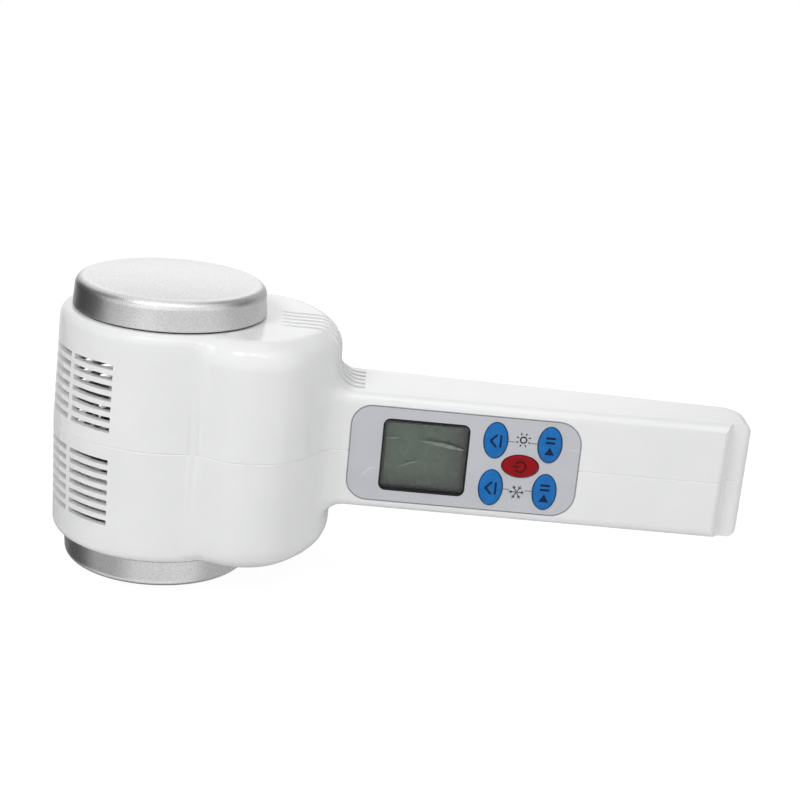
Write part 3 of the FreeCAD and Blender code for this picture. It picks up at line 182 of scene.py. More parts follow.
GLOSS_SIDES = (          # turn from the back toward +X, height, inner and outer reach in degrees, level
    (0, 90, 20, 50, 1.12),
    (0, -90, 40, 66, 1.00),
    (0, -52, 24, 48, 0.15),
    (86, -34, 12, 30, 0.25),
    (-126, -32, 10, 28, 0.38),
    (60, -12, 36, 60, 0.52),
    (-172, 22, 16, 40, 1.18),
    (128, 24, 8, 26, 1.08),
    (180, -20, 14, 30, 0.78),
    (35, 26, 14, 30, 0.55),
    (72, 25, 12, 28, 0.20),
    (46, 54, 8, 24, 0.28),
    (-5, 17, 8, 22, 1.27),
    (-60, 12, 12, 28, 0.28),
    (-70, -6, 24, 46, 0.06),
    (-84, 40, 8, 28, 0.20),
    (-156, 14, 10, 24, 1.40),
    (-146, 62, 3, 9, 7.0),
    (174, 68, 2, 7, 6.0),
    (146, 58, 1, 5, 7.0),
)


# ---- materials ----
def new_node(tree, kind, inputs=None, **properties):
    """Adds a node, sets its properties, and sets or links its inputs."""
    node = tree.nodes.new(kind)
    for key, value in properties.items():
        setattr(node, key, value)
    for key, value in (inputs or {}).items():
        if isinstance(value, bpy.types.NodeSocket):
            tree.links.new(value, node.inputs[key])
        else:
            node.inputs[key].default_value = value
    return node


class Finish:
    """A material with a Principled shader, and short calls to add nodes to it."""

    def __init__(self, name, **sockets):
        self.material = bpy.data.materials.new(name)
        self.material.use_nodes = True
        self.tree = self.material.node_tree
        self.shader = next(n for n in self.tree.nodes if n.type == "BSDF_PRINCIPLED")
        for key, value in sockets.items():
            socket = self.shader.inputs[key.replace("_", " ")]
            socket.default_value = (*value, 1.0) if isinstance(value, tuple) else value
        self.coordinates = self.tree.nodes.new("ShaderNodeTexCoord").outputs["Object"]

    def add(self, kind, inputs=None, **properties):
        return new_node(self.tree, kind, inputs, **properties)

    def noise(self, size_mm, detail=3.0, rough=0.55, vector=None):
        where = vector or self.coordinates
        values = {"Vector": where, "Scale": 1.0 / (size_mm * MM), "Detail": detail, "Roughness": rough}
        return self.add("ShaderNodeTexNoise", values).outputs["Fac"]

    def spread(self, value, low, high, start=0.3, end=0.7):
        values = {"Value": value, "From Min": start, "From Max": end, "To Min": low, "To Max": high}
        return self.add("ShaderNodeMapRange", values).outputs["Result"]

    def mix(self, factor, dark, light):
        values = {"Factor": factor}
        node = self.add("ShaderNodeMix", values, data_type="RGBA")
        for index, colour in ((6, dark), (7, light)):
            if isinstance(colour, bpy.types.NodeSocket):
                self.tree.links.new(colour, node.inputs[index])
            else:
                node.inputs[index].default_value = (*colour, 1.0)
        return node.outputs[2]

    def link(self, output, socket):
        self.tree.links.new(output, self.shader.inputs[socket])

    def bump(self, height, strength, distance_mm, normal=None):
        values = {"Height": height, "Strength": strength, "Distance": distance_mm * MM}
        if normal is not None:
            values["Normal"] = normal
        return self.add("ShaderNodeBump", values).outputs["Normal"]


def scaled(colour, factor):
    return tuple(min(1.0, c * factor) for c in colour)


def moulded(name, colour, tone=0.04, tone_mm=14.0, rough=(0.25, 0.35), grain_mm=0.35, grain=0.06,
            depth_mm=0.02, **sockets):
    """A surface with slow changes of tone, uneven gloss and a fine grain."""
    finish = Finish(name, **sockets)
    slow = finish.noise(tone_mm, 4.0)
    colours = finish.mix(finish.spread(slow, 0.0, 1.0), scaled(colour, 1 - tone), scaled(colour, 1 + tone))
    finish.link(colours, "Base Color")
    fine = finish.noise(grain_mm, 3.0)
    finish.link(finish.spread(finish.noise(4 * tone_mm / 5, 3.0), rough[0], rough[1]), "Roughness")
    finish.link(finish.bump(fine, grain, depth_mm), "Normal")
    return finish.material


def casing_white():
    finish = Finish("casing_white", IOR=1.53)
    slow = finish.noise(22.0, 3.0)
    clean = finish.mix(finish.spread(slow, 0.0, 1.0), (0.800, 0.803, 0.805), (0.830, 0.832, 0.832))
    specks = finish.noise(1.6, 4.0, 0.7)
    handled = finish.spread(specks, 0.0, 1.0, 0.66, 0.80)
    finish.link(finish.mix(handled, clean, (0.74, 0.735, 0.72)), "Base Color")
    finish.link(finish.spread(finish.noise(9.0, 4.0), 0.10, 0.20), "Roughness")
    ripple = finish.bump(finish.noise(6.0, 1.0), 0.10, 0.05)
    finish.link(finish.bump(finish.noise(0.5, 2.0), 0.05, 0.01, ripple), "Normal")
    return finish.material


def plate_satin():
    finish = Finish("plate_satin", Metallic=1.0)
    sparkle = finish.noise(0.30, 2.0, 0.6)
    fine = finish.noise(0.12, 2.0, 0.6)
    base = finish.mix(finish.spread(sparkle, 0.0, 1.0, 0.38, 0.62), (0.62, 0.62, 0.625), (0.83, 0.83, 0.832))
    finish.link(base, "Base Color")
    finish.link(finish.spread(fine, 0.26, 0.42), "Roughness")
    lumps = finish.bump(sparkle, 0.45, 0.03)
    finish.link(finish.bump(fine, 0.25, 0.012, lumps), "Normal")
    return finish.material


def label_silver():
    finish = Finish("label_silver", Metallic=0.15, IOR=1.5)
    flake = finish.noise(0.22, 2.0, 0.7)
    slow = finish.noise(18.0, 3.0)
    base = finish.mix(finish.spread(slow, 0.0, 1.0), (0.500, 0.515, 0.548), (0.540, 0.553, 0.585))
    finish.link(finish.mix(finish.spread(flake, 0.0, 0.35, 0.5, 0.8), base, (0.70, 0.71, 0.74)), "Base Color")
    finish.link(finish.spread(finish.noise(5.0, 3.0), 0.28, 0.40), "Roughness")
    waves = finish.bump(finish.noise(11.0, 1.5), 0.20, 0.12)
    finish.link(finish.bump(flake, 0.12, 0.01, waves), "Normal")
    return finish.material


def lens_clear():
    finish = Finish("lens_clear", IOR=1.49, Transmission_Weight=1.0, Specular_IOR_Level=0.25)
    base = finish.mix(finish.noise(10.0, 2.0), (0.93, 0.95, 0.94), (0.97, 0.98, 0.97))
    finish.link(base, "Base Color")
    finish.link(finish.spread(finish.noise(3.0, 4.0), 0.02, 0.06), "Roughness")
    finish.link(finish.bump(finish.noise(14.0, 1.0), 0.08, 0.05), "Normal")
    return finish.material


def display_green():
    finish = Finish("display_green", IOR=1.5)
    parts = finish.add("ShaderNodeSeparateXYZ", {"Vector": finish.coordinates}).outputs
    # Painted shade: the display darkens toward its lower end and toward the keys, where the window's frame
    # shades it.
    low = finish.spread(parts["Z"], 0.0, 1.0, DISPLAY_SHADE_Z[0] * MM, DISPLAY_SHADE_Z[1] * MM)
    near, far = (place(LCD_X + x, 0.0, 0.0).x for x in DISPLAY_SHADE_X)
    right = finish.spread(parts["X"], 1.0, 0.0, near, far)
    lit = finish.add("ShaderNodeMath", {0: low, 1: right}, operation="MULTIPLY").outputs["Value"]
    base = finish.mix(lit, (0.012, 0.018, 0.012), (0.072, 0.115, 0.076))
    cells = finish.noise(0.25, 2.0, 0.6)
    finish.link(finish.mix(finish.spread(cells, 0.0, 0.2), base, (0.13, 0.165, 0.13)), "Base Color")
    finish.link(finish.spread(finish.noise(6.0, 2.0), 0.22, 0.32), "Roughness")
    finish.link(finish.bump(cells, 0.05, 0.01), "Normal")
    return finish.material


def floor_pale():
    """Pale studio floor: white to the camera with a soft shadow, and out of the way of reflections."""
    finish = Finish("floor_pale", Roughness=0.9)
    tree = finish.tree
    finish.link(finish.mix(finish.noise(400.0, 2.0), (0.84, 0.84, 0.84), (0.86, 0.86, 0.86)), "Base Color")
    white = finish.add("ShaderNodeEmission", {"Color": (1.0, 1.0, 1.0, 1.0), "Strength": 1.09})
    path = finish.add("ShaderNodeLightPath").outputs
    seen = finish.add("ShaderNodeMath", {0: path["Is Camera Ray"], 1: path["Is Transmission Ray"]},
                      operation="MAXIMUM")
    share = finish.add("ShaderNodeMath", {0: seen.outputs[0], 1: FLOOR_WHITE}, operation="MULTIPLY")
    lit = finish.add("ShaderNodeMixShader", {"Fac": share.outputs[0]})
    tree.links.new(finish.shader.outputs[0], lit.inputs[1])
    tree.links.new(white.outputs[0], lit.inputs[2])
    clear = finish.add("ShaderNodeBsdfTransparent")
    whole = finish.add("ShaderNodeMixShader", {"Fac": path["Is Glossy Ray"]})
    tree.links.new(lit.outputs[0], whole.inputs[1])
    tree.links.new(clear.outputs[0], whole.inputs[2])
    output = next(n for n in tree.nodes if n.type == "OUTPUT_MATERIAL")
    tree.links.new(whole.outputs[0], output.inputs["Surface"])
    return finish.material


WHITE = casing_white()
SATIN = plate_satin()
SILVER_FILM = label_silver()
LENS = lens_clear()
# Painted reflections: the lighter colours of the film's creases over the display and over the label.
DISPLAY_CREASE_SHEEN = moulded("crease_sheen_display_film", (0.180, 0.200, 0.178), 0.3, 1.5, (0.25, 0.45), 0.4, 0.3)
LABEL_CREASE_SHEEN = moulded("crease_sheen_label_film", (0.72, 0.73, 0.75), 0.1, 1.5, (0.25, 0.45), 0.4, 0.3)
DISPLAY = display_green()
GASKET = moulded("gasket_rubber", (0.035, 0.035, 0.037), 0.2, 5.0, (0.6, 0.8))
KEY_LOOK = {"tone_mm": 3.0, "rough": (0.30, 0.42), "grain_mm": 0.25, "grain": 0.08,
            "Specular_IOR_Level": 0.12}
BLUE = moulded("key_blue", (0.014, 0.150, 0.450), 0.12, **KEY_LOOK)
RED = moulded("key_red", (0.280, 0.005, 0.009), 0.15, **KEY_LOOK)
INK_DARK = moulded("ink_dark", (0.006, 0.018, 0.070), 0.1, 2.0, (0.4, 0.55), Specular_IOR_Level=0.15)
INK_RED = moulded("ink_on_red", (0.050, 0.004, 0.005), 0.1, 2.0, (0.4, 0.55), Specular_IOR_Level=0.15)
INK_TEXT = moulded("ink_symbols", (0.030, 0.030, 0.036), 0.1, 2.0, (0.4, 0.55), Specular_IOR_Level=0.2)
INK_GREY = moulded("ink_grey", (0.150, 0.152, 0.165), 0.12, 2.0, (0.4, 0.55))
BLACK_INK = moulded("ink_black", (0.010, 0.010, 0.011), 0.1, 3.0, (0.25, 0.4), Specular_IOR_Level=0.2)
BLACK = moulded("black_plastic", (0.022, 0.022, 0.024), 0.12, 6.0, (0.4, 0.55), 0.3, 0.15)
STEEL = moulded("screw_steel", (0.56, 0.56, 0.55), 0.1, 1.5, (0.25, 0.42), 0.2, 0.1, Metallic=1.0)
SHAFT = moulded("ground_steel", (0.60, 0.60, 0.61), 0.06, 1.0, (0.15, 0.28), 0.1, 0.1, Metallic=1.0)
FINS = moulded("fin_aluminium", (0.62, 0.63, 0.65), 0.08, 4.0, (0.32, 0.5), 0.2, 0.15, Metallic=1.0)
BRONZE = moulded("sintered_bronze", (0.50, 0.34, 0.17), 0.15, 0.8, (0.4, 0.6), 0.15, 0.3, Metallic=1.0)
COIL = moulded("enamelled_copper", (0.52, 0.20, 0.09), 0.2, 0.6, (0.25, 0.4), 0.3, 0.5, Metallic=0.8)
MAGNET = moulded("bonded_ferrite", (0.07, 0.065, 0.062), 0.15, 1.5, (0.55, 0.75), 0.2, 0.3)
NYLON = moulded("nylon_natural", (0.72, 0.70, 0.64), 0.05, 6.0, (0.35, 0.5))
FELT = moulded("pressed_felt", (0.80, 0.79, 0.75), 0.10, 1.2, (0.85, 0.97), 0.25, 0.8, 0.15)
FOAM = moulded("closed_foam", (0.09, 0.09, 0.10), 0.25, 0.8, (0.8, 0.95), 0.5, 0.8, 0.2)
ALUMINA = moulded("fired_alumina", (0.84, 0.84, 0.82), 0.03, 5.0, (0.45, 0.6))
ALLOY = moulded("sawn_alloy", (0.30, 0.30, 0.32), 0.15, 0.6, (0.4, 0.6), 0.1, 0.4, Metallic=1.0)
HEATER = moulded("heater_steel", (0.48, 0.47, 0.45), 0.1, 2.0, (0.3, 0.5), 0.15, 0.15, Metallic=1.0)
BOARD = moulded("solder_mask", (0.03, 0.20, 0.08), 0.2, 2.5, (0.25, 0.4), 0.4, 0.2)
EPOXY = moulded("component_black", (0.030, 0.030, 0.032), 0.2, 2.0, (0.45, 0.65), 0.2, 0.3)
SLEEVE = moulded("capacitor_sleeve", (0.04, 0.05, 0.11), 0.1, 2.0, (0.2, 0.35))
FERRITE = moulded("wound_ferrite", (0.10, 0.085, 0.08), 0.3, 0.7, (0.4, 0.6), 0.3, 0.5)
CONNECTOR = moulded("connector_nylon", (0.78, 0.76, 0.70), 0.05, 3.0, (0.4, 0.55))
LEAD_WHITE = moulded("lead_white", (0.80, 0.80, 0.78), 0.05, 3.0, (0.4, 0.55), 0.2, 0.15)
LEAD_RED = moulded("lead_red", (0.55, 0.04, 0.035), 0.1, 3.0, (0.35, 0.5), 0.2, 0.15)
RIBBON = moulded("ribbon_grey", (0.42, 0.43, 0.44), 0.1, 1.3, (0.4, 0.55), 0.6, 0.6, 0.1)


# ---- mesh helpers ----
def finished(name, mesh, body, materials, replaces=()):
    """Names a mesh made in place, gives it its materials, and hangs it on its body."""
    mesh.name = name
    mesh.materials.clear()
    for material in materials:
        mesh.materials.append(material)
    piece = bpy.data.objects.new(name, mesh)
    bpy.context.scene.collection.objects.link(piece)
    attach(piece, body)
    if replaces:
        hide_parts(*replaces)
    return piece


def mesh_from(points, faces, sharp_deg=30.0):
    """A closed mesh with its doubles merged and its faces outwards."""
    mesh = bpy.data.meshes.new("piece")
    mesh.from_pydata([tuple(p) for p in points], [], faces)
    work = bmesh.new()
    work.from_mesh(mesh)
    bmesh.ops.remove_doubles(work, verts=work.verts, dist=1e-7)
    bmesh.ops.recalc_face_normals(work, faces=work.faces)
    work.to_mesh(mesh)
    work.free()
    smooth_by_angle(mesh, sharp_deg)
    return mesh


def smooth_by_angle(mesh, sharp_deg):
    mesh.polygons.foreach_set("use_smooth", [True] * len(mesh.polygons))
    mesh.set_sharp_from_angle(angle=math.radians(sharp_deg))
    mesh.update()


def merged_copy(node):
    """A copy of a CAD node's mesh with its loose triangles joined."""
    mesh = NODES[node].data.copy()
    work = bmesh.new()
    work.from_mesh(mesh)
    bmesh.ops.remove_doubles(work, verts=work.verts, dist=2e-7)
    work.to_mesh(mesh)
    work.free()
    for name in ("custom_normal", "sharp_face", "sharp_edge"):
        found = mesh.attributes.get(name)
        if found:
            mesh.attributes.remove(found)
    return mesh


def turned(profile, centre, count=128):
    """Turns a closed profile of (radius, height) about the axis through centre, along Z."""
    points = []
    faces = []
    rings = []
    for radius, height in profile:
        if radius < 1e-6:
            points.append((centre.x, centre.y, centre.z + height))
            rings.append([len(points) - 1] * count)
            continue
        first = len(points)
        for i in range(count):
            turn = 2 * math.pi * i / count
            points.append((centre.x + radius * math.cos(turn), centre.y + radius * math.sin(turn),
                           centre.z + height))
        rings.append(list(range(first, first + count)))
    for k in range(len(rings)):
        low, high = rings[k], rings[(k + 1) % len(rings)]
        for i in range(count):
            j = (i + 1) % count
            face = []
            for index in (low[i], low[j], high[j], high[i]):
                if index not in face:
                    face.append(index)
            if len(face) > 2:
                faces.append(face)
    return points, faces


def wall_faces(rings, count):
    """Faces between rings of points that follow one another."""
    faces = []
    for k in range(rings - 1):
        for i in range(count):
            j = (i + 1) % count
            faces.append((k * count + i, k * count + j, (k + 1) * count + j, (k + 1) * count + i))
    return faces


def arc_points(start, middle, end, count):
    """Points on the circle through three points of a profile."""
    ax, ay = start
    bx, by = middle
    cx, cy = end
    d = 2 * (ax * (by - cy) + bx * (cy - ay) + cx * (ay - by))
    ux = ((ax**2 + ay**2) * (by - cy) + (bx**2 + by**2) * (cy - ay) + (cx**2 + cy**2) * (ay - by)) / d
    uy = ((ax**2 + ay**2) * (cx - bx) + (bx**2 + by**2) * (ax - cx) + (cx**2 + cy**2) * (bx - ax)) / d
    radius = math.hypot(ax - ux, ay - uy)
    a0 = math.atan2(ay - uy, ax - ux)
    a1 = math.atan2(cy - uy, cx - ux)
    turns = [a0 + (a1 - a0) * i / count for i in range(1, count + 1)]
    return [(ux + radius * math.cos(turn), uy + radius * math.sin(turn)) for turn in turns]


# ---- the casing's outer skin as a distance field ----
SLOPE = math.atan2(DRAFT, HEAD_TOP)


def rounded_corner(side, end, radius):
    """Distance to a wall and an end face that meet in a rounded edge."""
    a = side + radius
    b = end + radius
    outside = np.hypot(np.maximum(a, 0), np.maximum(b, 0))
    return np.minimum(np.maximum(a, b), 0) + outside - radius


def drafted(plan, z, radius):
    """Distance to a body with this plan, drafted walls and a rounded top edge."""
    side = plan * math.cos(SLOPE) + z * math.sin(SLOPE)
    return rounded_corner(side, z - HEAD_TOP, radius)


def front_lobe(p):
    return drafted(np.hypot(p[:, 0], p[:, 1]) - LOBE_R, p[:, 2], FRONT_EDGE_R)


def rear_lobe(p):
    reach = REAR_END_X - REAR_CORNER_R - REAR_CORNER_X
    end_x = REAR_CORNER_X - 0.5 * (REAR_CORNER_Y**2 - reach**2) / reach
    turn = math.atan2(REAR_CORNER_Y, REAR_CORNER_X - end_x)
    x, y = p[:, 0], np.abs(p[:, 1])
    end = np.hypot(x - end_x, y) - (REAR_END_X - end_x)
    corner = np.hypot(x - REAR_CORNER_X, y - REAR_CORNER_Y) - REAR_CORNER_R
    inner = REAR_CORNER_X - REAR_CORNER_R - x
    plan = np.where(np.arctan2(y, x - end_x) < turn, end, corner)
    plan = np.where((y < REAR_CORNER_Y) & (x < REAR_CORNER_X - 0.5 * REAR_CORNER_R), inner, plan)
    return drafted(plan, p[:, 2], REAR_EDGE_R)


def handle_bar(p):
    back = HANDLE_BACK_Y0 - HANDLE_TAPER * (p[:, 0] - HANDLE_BACK_X0)
    side = np.maximum(HANDLE_FRONT_Y - p[:, 1], (p[:, 1] - back) * math.cos(math.atan(HANDLE_TAPER)))
    return rounded_corner(side, p[:, 2] - HANDLE_HALF, HANDLE_EDGE_R)


def slope_of(field, p, step=0.01):
    """Unit direction in which the field grows."""
    out = np.empty_like(p)
    for axis in range(3):
        move = np.zeros(3)
        move[axis] = step
        out[:, axis] = field(p + move) - field(p - move)
    return out / np.maximum(np.linalg.norm(out, axis=1, keepdims=True), 1e-9)


def blended(first, second, radius):
    """Union of two shapes with a fillet in the valley between them."""
    def field(p):
        a = first(p)
        b = second(p)
        lean = np.clip(np.sum(slope_of(first, p) * slope_of(second, p), axis=1), -0.98, 0.98)
        ra = radius - a
        rb = radius - b
        inside = (ra - rb * lean > 0) & (rb - ra * lean > 0) & (ra > 0) & (rb > 0)
        square = np.maximum(ra**2 + rb**2 - 2 * ra * rb * lean, 0) / (1 - lean**2)
        return np.where(inside, radius - np.sqrt(square), np.minimum(a, b))
    return field


SKIN = blended(blended(front_lobe, rear_lobe, WAIST_R), handle_bar, NECK_R)


def on_outside(point, normal):
    """True for a place on the outer skin, from its point in millimetres and its outward direction."""
    if point[0] < TAIL_FROM_X:
        folded = np.array([[point[0], point[1], abs(point[2])]])
        return abs(SKIN(folded)[0]) < SKIN_NEAR
    along = point[0] - TAIL_MIDDLE[0]
    across = point[1] - TAIL_MIDDLE[1]
    if abs(across) < INLET_HALF and point[0] > INLET_FROM_X:
        return False
    return along * normal.x + across * normal.y > 0.0


def casing_half(node, side):
    """The shell with a fine chamfer along the parting line and true normals over the head."""
    mesh = merged_copy(node)
    work = bmesh.new()
    work.from_mesh(mesh)
    everything = list(work.verts) + list(work.edges) + list(work.faces)
    bmesh.ops.bisect_plane(work, geom=everything, dist=1e-8, plane_co=(0.0, 0.0, side * SEAM_HIGH * MM),
                           plane_no=(0.0, 0.0, 1.0))
    moves = []
    for vert in work.verts:
        if abs(vert.co.z) > 1e-7:
            continue
        outward = Vector((0.0, 0.0, 0.0))
        for face in vert.link_faces:
            if abs(face.normal.z) < 0.5:
                outward += Vector((face.normal.x, face.normal.y, 0.0))
        if outward.length < 1e-6:
            continue
        outward.normalize()
        point = (vert.co.x / MM - HEAD_X, vert.co.y / MM, 0.0)
        if on_outside(point, outward):
            moves.append((vert, outward))
    for vert, outward in moves:
        vert.co -= outward * (SEAM_DEEP * MM)
    bmesh.ops.triangulate(work, faces=[f for f in work.faces if len(f.verts) > 4])
    work.to_mesh(mesh)
    work.free()
    smooth_by_angle(mesh, 28.0)
    set_skin_normals(mesh)
    return mesh


def set_skin_normals(mesh):
    """Gives faces that lie on the head's outer skin the skin's own normals."""
    count = len(mesh.vertices)
    co = np.empty(count * 3)
    mesh.vertices.foreach_get("co", co)
    co = co.reshape(-1, 3) / MM
    co[:, 0] -= HEAD_X
    under = co[:, 2] < 0
    half = np.column_stack([co[:, 0], co[:, 1], np.abs(co[:, 2])])
    level = SKIN(half)
    near = (np.abs(level) < SKIN_NEAR) & (co[:, 0] < SKIN_END_X)
    direction = np.zeros_like(co)
    direction[near] = slope_of(SKIN, half[near])
    direction[under, 2] *= -1
    loops = len(mesh.loops)
    vertex = np.empty(loops, dtype=np.int32)
    mesh.loops.foreach_get("vertex_index", vertex)
    normals = np.array([n.vector[:] for n in mesh.corner_normals])
    faces = len(mesh.polygons)
    start = np.empty(faces, dtype=np.int32)
    total = np.empty(faces, dtype=np.int32)
    flat = np.empty(faces * 3)
    mesh.polygons.foreach_get("loop_start", start)
    mesh.polygons.foreach_get("loop_total", total)
    mesh.polygons.foreach_get("normal", flat)
    owner = np.repeat(np.arange(faces), total)
    flat = flat.reshape(-1, 3)[owner]
    wanted = direction[vertex]
    agree = np.sum(flat * wanted, axis=1) > NORMALS_AGREE
    good = near[vertex] & agree
    whole = np.ones(faces, dtype=bool)
    np.logical_and.at(whole, owner, good)
    use = whole[owner]
    normals[use] = wanted[use]
    mesh.normals_split_custom_set(normals.tolist())


# ---- casing, plates and gaskets ----
finished("casing_upper", casing_half("upper_shell", 1), "casing", [WHITE], ["upper_shell"])
finished("casing_lower", casing_half("lower_shell", -1), "casing", [WHITE], ["lower_shell"])


def plate_profile():
    """Radius and height round the domed cap, from its hollow underside over the wall to the crown."""
    wall = PLATE_R - PLATE_DRAFT
    dome = wall - PLATE_SHOULDER
    rim = PLATE_TOP + SHOULDER_RISE * PLATE_SHOULDER
    crown = rim + PLATE_DOME
    middle = (wall - SHOULDER_MIDDLE[0] * PLATE_SHOULDER, PLATE_TOP + SHOULDER_MIDDLE[1] * PLATE_SHOULDER)
    sphere = 0.5 * (dome**2 + PLATE_DOME**2) / PLATE_DOME
    half = 0.5 * math.asin(dome / sphere)
    over = (sphere * math.sin(half), crown - sphere * (1 - math.cos(half)))
    inner = PLATE_R - PLATE_WALL
    profile = [(0.0, PLATE_UNDER), (inner, PLATE_UNDER), (inner, PLATE_BASE),
               (PLATE_R - PLATE_BEVEL, PLATE_BASE), (PLATE_R, PLATE_BASE + PLATE_BEVEL), (wall, PLATE_TOP)]
    profile += arc_points((wall, PLATE_TOP), middle, (dome, rim), 12)
    profile += arc_points((dome, rim), over, (0.0, crown), 24)
    profile[-1] = (0.0, crown)
    return profile


def plate(name, node, side):
    profile = [(r * MM, side * z * MM) for r, z in plate_profile()]
    points, faces = turned(profile, place(0, 0, 0), 160)
    finished(name, mesh_from(points, faces, 35.0), "casing", [SATIN], [node])


plate("plate_warm", "warm_plate", 1)
plate("plate_cold", "cold_plate", -1)


def smooth_node(name, node, body, material, sharp_deg=30.0):
    """Shows a CAD node by a joined and smoothed copy of its mesh."""
    mesh = merged_copy(node)
    smooth_by_angle(mesh, sharp_deg)
    return finished(name, mesh, body, [material], [node])


smooth_node("gasket_rings", "plate_gaskets", "casing", GASKET)


# ---- casing screws ----
def screw_tree():
    """Cross-head screws, head down and each turned by its own angle, one at every given point."""
    crown_width, crown_height = 0.86, 0.35      # the head's bevelled top, as shares of the head
    overlap = 0.001                             # keeps the joined solids from merely touching
    recess_reach = 1.25
    tree = bpy.data.node_groups.new("casing_screws", "GeometryNodeTree")
    tree.interface.new_socket("Places", in_out="INPUT", socket_type="NodeSocketGeometry")
    sizes = {"Head radius": SCREW_HEAD_R, "Head height": SCREW_HEAD_H, "Shank radius": SCREW_R,
             "Shank length": SCREW_LENGTH, "Recess width": RECESS_WIDTH, "Recess depth": RECESS_DEPTH}
    for name, value in sizes.items():
        socket = tree.interface.new_socket(name, in_out="INPUT", socket_type="NodeSocketFloat")
        socket.default_value = value * MM
    tree.interface.new_socket("Screws", in_out="OUTPUT", socket_type="NodeSocketGeometry")
    add = tree.nodes.new
    join = tree.links.new
    given = add("NodeGroupInput")
    result = add("NodeGroupOutput")

    def moved(mesh, height):
        offset = add("ShaderNodeCombineXYZ")
        join(height, offset.inputs["Z"])
        node = add("GeometryNodeTransform")
        join(mesh, node.inputs["Geometry"])
        join(offset.outputs[0], node.inputs["Translation"])
        return node.outputs["Geometry"]

    def times(value, factor):
        node = add("ShaderNodeMath")
        node.operation = "MULTIPLY"
        join(value, node.inputs[0])
        node.inputs[1].default_value = factor
        return node.outputs[0]

    head = add("GeometryNodeMeshCone")
    head.inputs["Vertices"].default_value = 40
    join(times(given.outputs["Head radius"], crown_width), head.inputs["Radius Top"])
    join(given.outputs["Head radius"], head.inputs["Radius Bottom"])
    join(times(given.outputs["Head height"], crown_height), head.inputs["Depth"])
    rim = add("GeometryNodeMeshCylinder")
    rim.inputs["Vertices"].default_value = 40
    join(given.outputs["Head radius"], rim.inputs["Radius"])
    join(times(given.outputs["Head height"], 1 - crown_height), rim.inputs["Depth"])
    shank = add("GeometryNodeMeshCylinder")
    shank.inputs["Vertices"].default_value = 28
    join(given.outputs["Shank radius"], shank.inputs["Radius"])
    join(given.outputs["Shank length"], shank.inputs["Depth"])
    parts = add("GeometryNodeMeshBoolean")
    parts.operation = "UNION"
    for piece, length, share in ((head, "Head height", 1 - crown_height - overlap),
                                 (rim, "Head height", 0.5 * (1 - crown_height)),
                                 (shank, "Shank length", overlap - 0.5)):
        join(moved(piece.outputs["Mesh"], times(given.outputs[length], share)), parts.inputs["Mesh 2"])
    cross = add("GeometryNodeMeshBoolean")
    cross.operation = "DIFFERENCE"
    join(parts.outputs["Mesh"], cross.inputs["Mesh 1"])
    for swap in (False, True):
        size = add("ShaderNodeCombineXYZ")
        long_way = times(given.outputs["Head radius"], recess_reach)
        join(long_way, size.inputs["Y" if swap else "X"])
        join(given.outputs["Recess width"], size.inputs["X" if swap else "Y"])
        join(times(given.outputs["Recess depth"], 2.0), size.inputs["Z"])
        bar = add("GeometryNodeMeshCube")
        join(size.outputs[0], bar.inputs["Size"])
        join(moved(bar.outputs["Mesh"], given.outputs["Head height"]), cross.inputs["Mesh 2"])
    spots = add("GeometryNodeInstanceOnPoints")
    join(given.outputs["Places"], spots.inputs["Points"])
    join(cross.outputs["Mesh"], spots.inputs["Instance"])
    turn = add("FunctionNodeRandomValue")
    turn.data_type = "FLOAT_VECTOR"
    turn.inputs["Min"].default_value = (math.pi, 0.0, 0.0)
    turn.inputs["Max"].default_value = (math.pi, 0.0, 1.5)
    turn.inputs["Seed"].default_value = 7
    join(turn.outputs[0], spots.inputs["Rotation"])
    real = add("GeometryNodeRealizeInstances")
    join(spots.outputs["Instances"], real.inputs["Geometry"])
    paint = add("GeometryNodeSetMaterial")
    paint.inputs["Material"].default_value = STEEL
    join(real.outputs["Geometry"], paint.inputs["Geometry"])
    join(paint.outputs["Geometry"], result.inputs["Screws"])
    return tree


def casing_screws():
    mesh = bpy.data.meshes.new("screw_places")
    mesh.from_pydata([tuple(place(x, y, SCREW_SEAT_Z)) for x, y in SCREW_PLACES], [], [])
    carrier = bpy.data.objects.new("screw_places", mesh)
    bpy.context.scene.collection.objects.link(carrier)
    modifier = carrier.modifiers.new("screws", "NODES")
    modifier.node_group = screw_tree()
    bpy.context.view_layer.update()
    graph = bpy.context.evaluated_depsgraph_get()
    made = bpy.data.meshes.new_from_object(carrier.evaluated_get(graph))
    carrier.modifiers.clear()
    bpy.data.objects.remove(carrier)
    smooth_by_angle(made, 30.0)
    finished("screws_casing", made, "casing", [STEEL], ["casing_screws"])


casing_screws()


# ---- panel: printed film, keys and display ----
def rounded_outline(x0, x1, half, radii, inset=0.0, steps=14):
    """Rounded rectangle in the panel's plane; radii at low-left, low-right, top-right, top-left."""
    corners = ((x0, -half, 180), (x1, -half, 270), (x1, half, 0), (x0, half, 90))
    points = []
    for (cx, cz, first), radius in zip(corners, radii):
        sx = 1 if cx == x0 else -1
        sz = 1 if cz < 0 else -1
        mx = cx + sx * radius
        mz = cz + sz * radius
        for i in range(steps + 1):
            turn = math.radians(first + 90.0 * i / steps)
            points.append((mx + (radius - inset) * math.cos(turn), mz + (radius - inset) * math.sin(turn)))
    return points


def oval_outline(x, z, a, b, count=96):
    return [(x + a * math.cos(2 * math.pi * i / count), z + b * math.sin(2 * math.pi * i / count))
            for i in range(count)]


def band(outer, inner, front, back):
    """Closed ring between two outlines with the same number of points."""
    count = len(outer)
    points = []
    for outline, y in ((outer, front), (inner, front), (inner, back), (outer, back)):
        points += [place(x, y, z) for x, z in outline]
    faces = []
    for k in range(4):
        for i in range(count):
            j = (i + 1) % count
            a, b = k * count, ((k + 1) % 4) * count
            faces.append((a + i, a + j, b + j, b + i))
    return points, faces


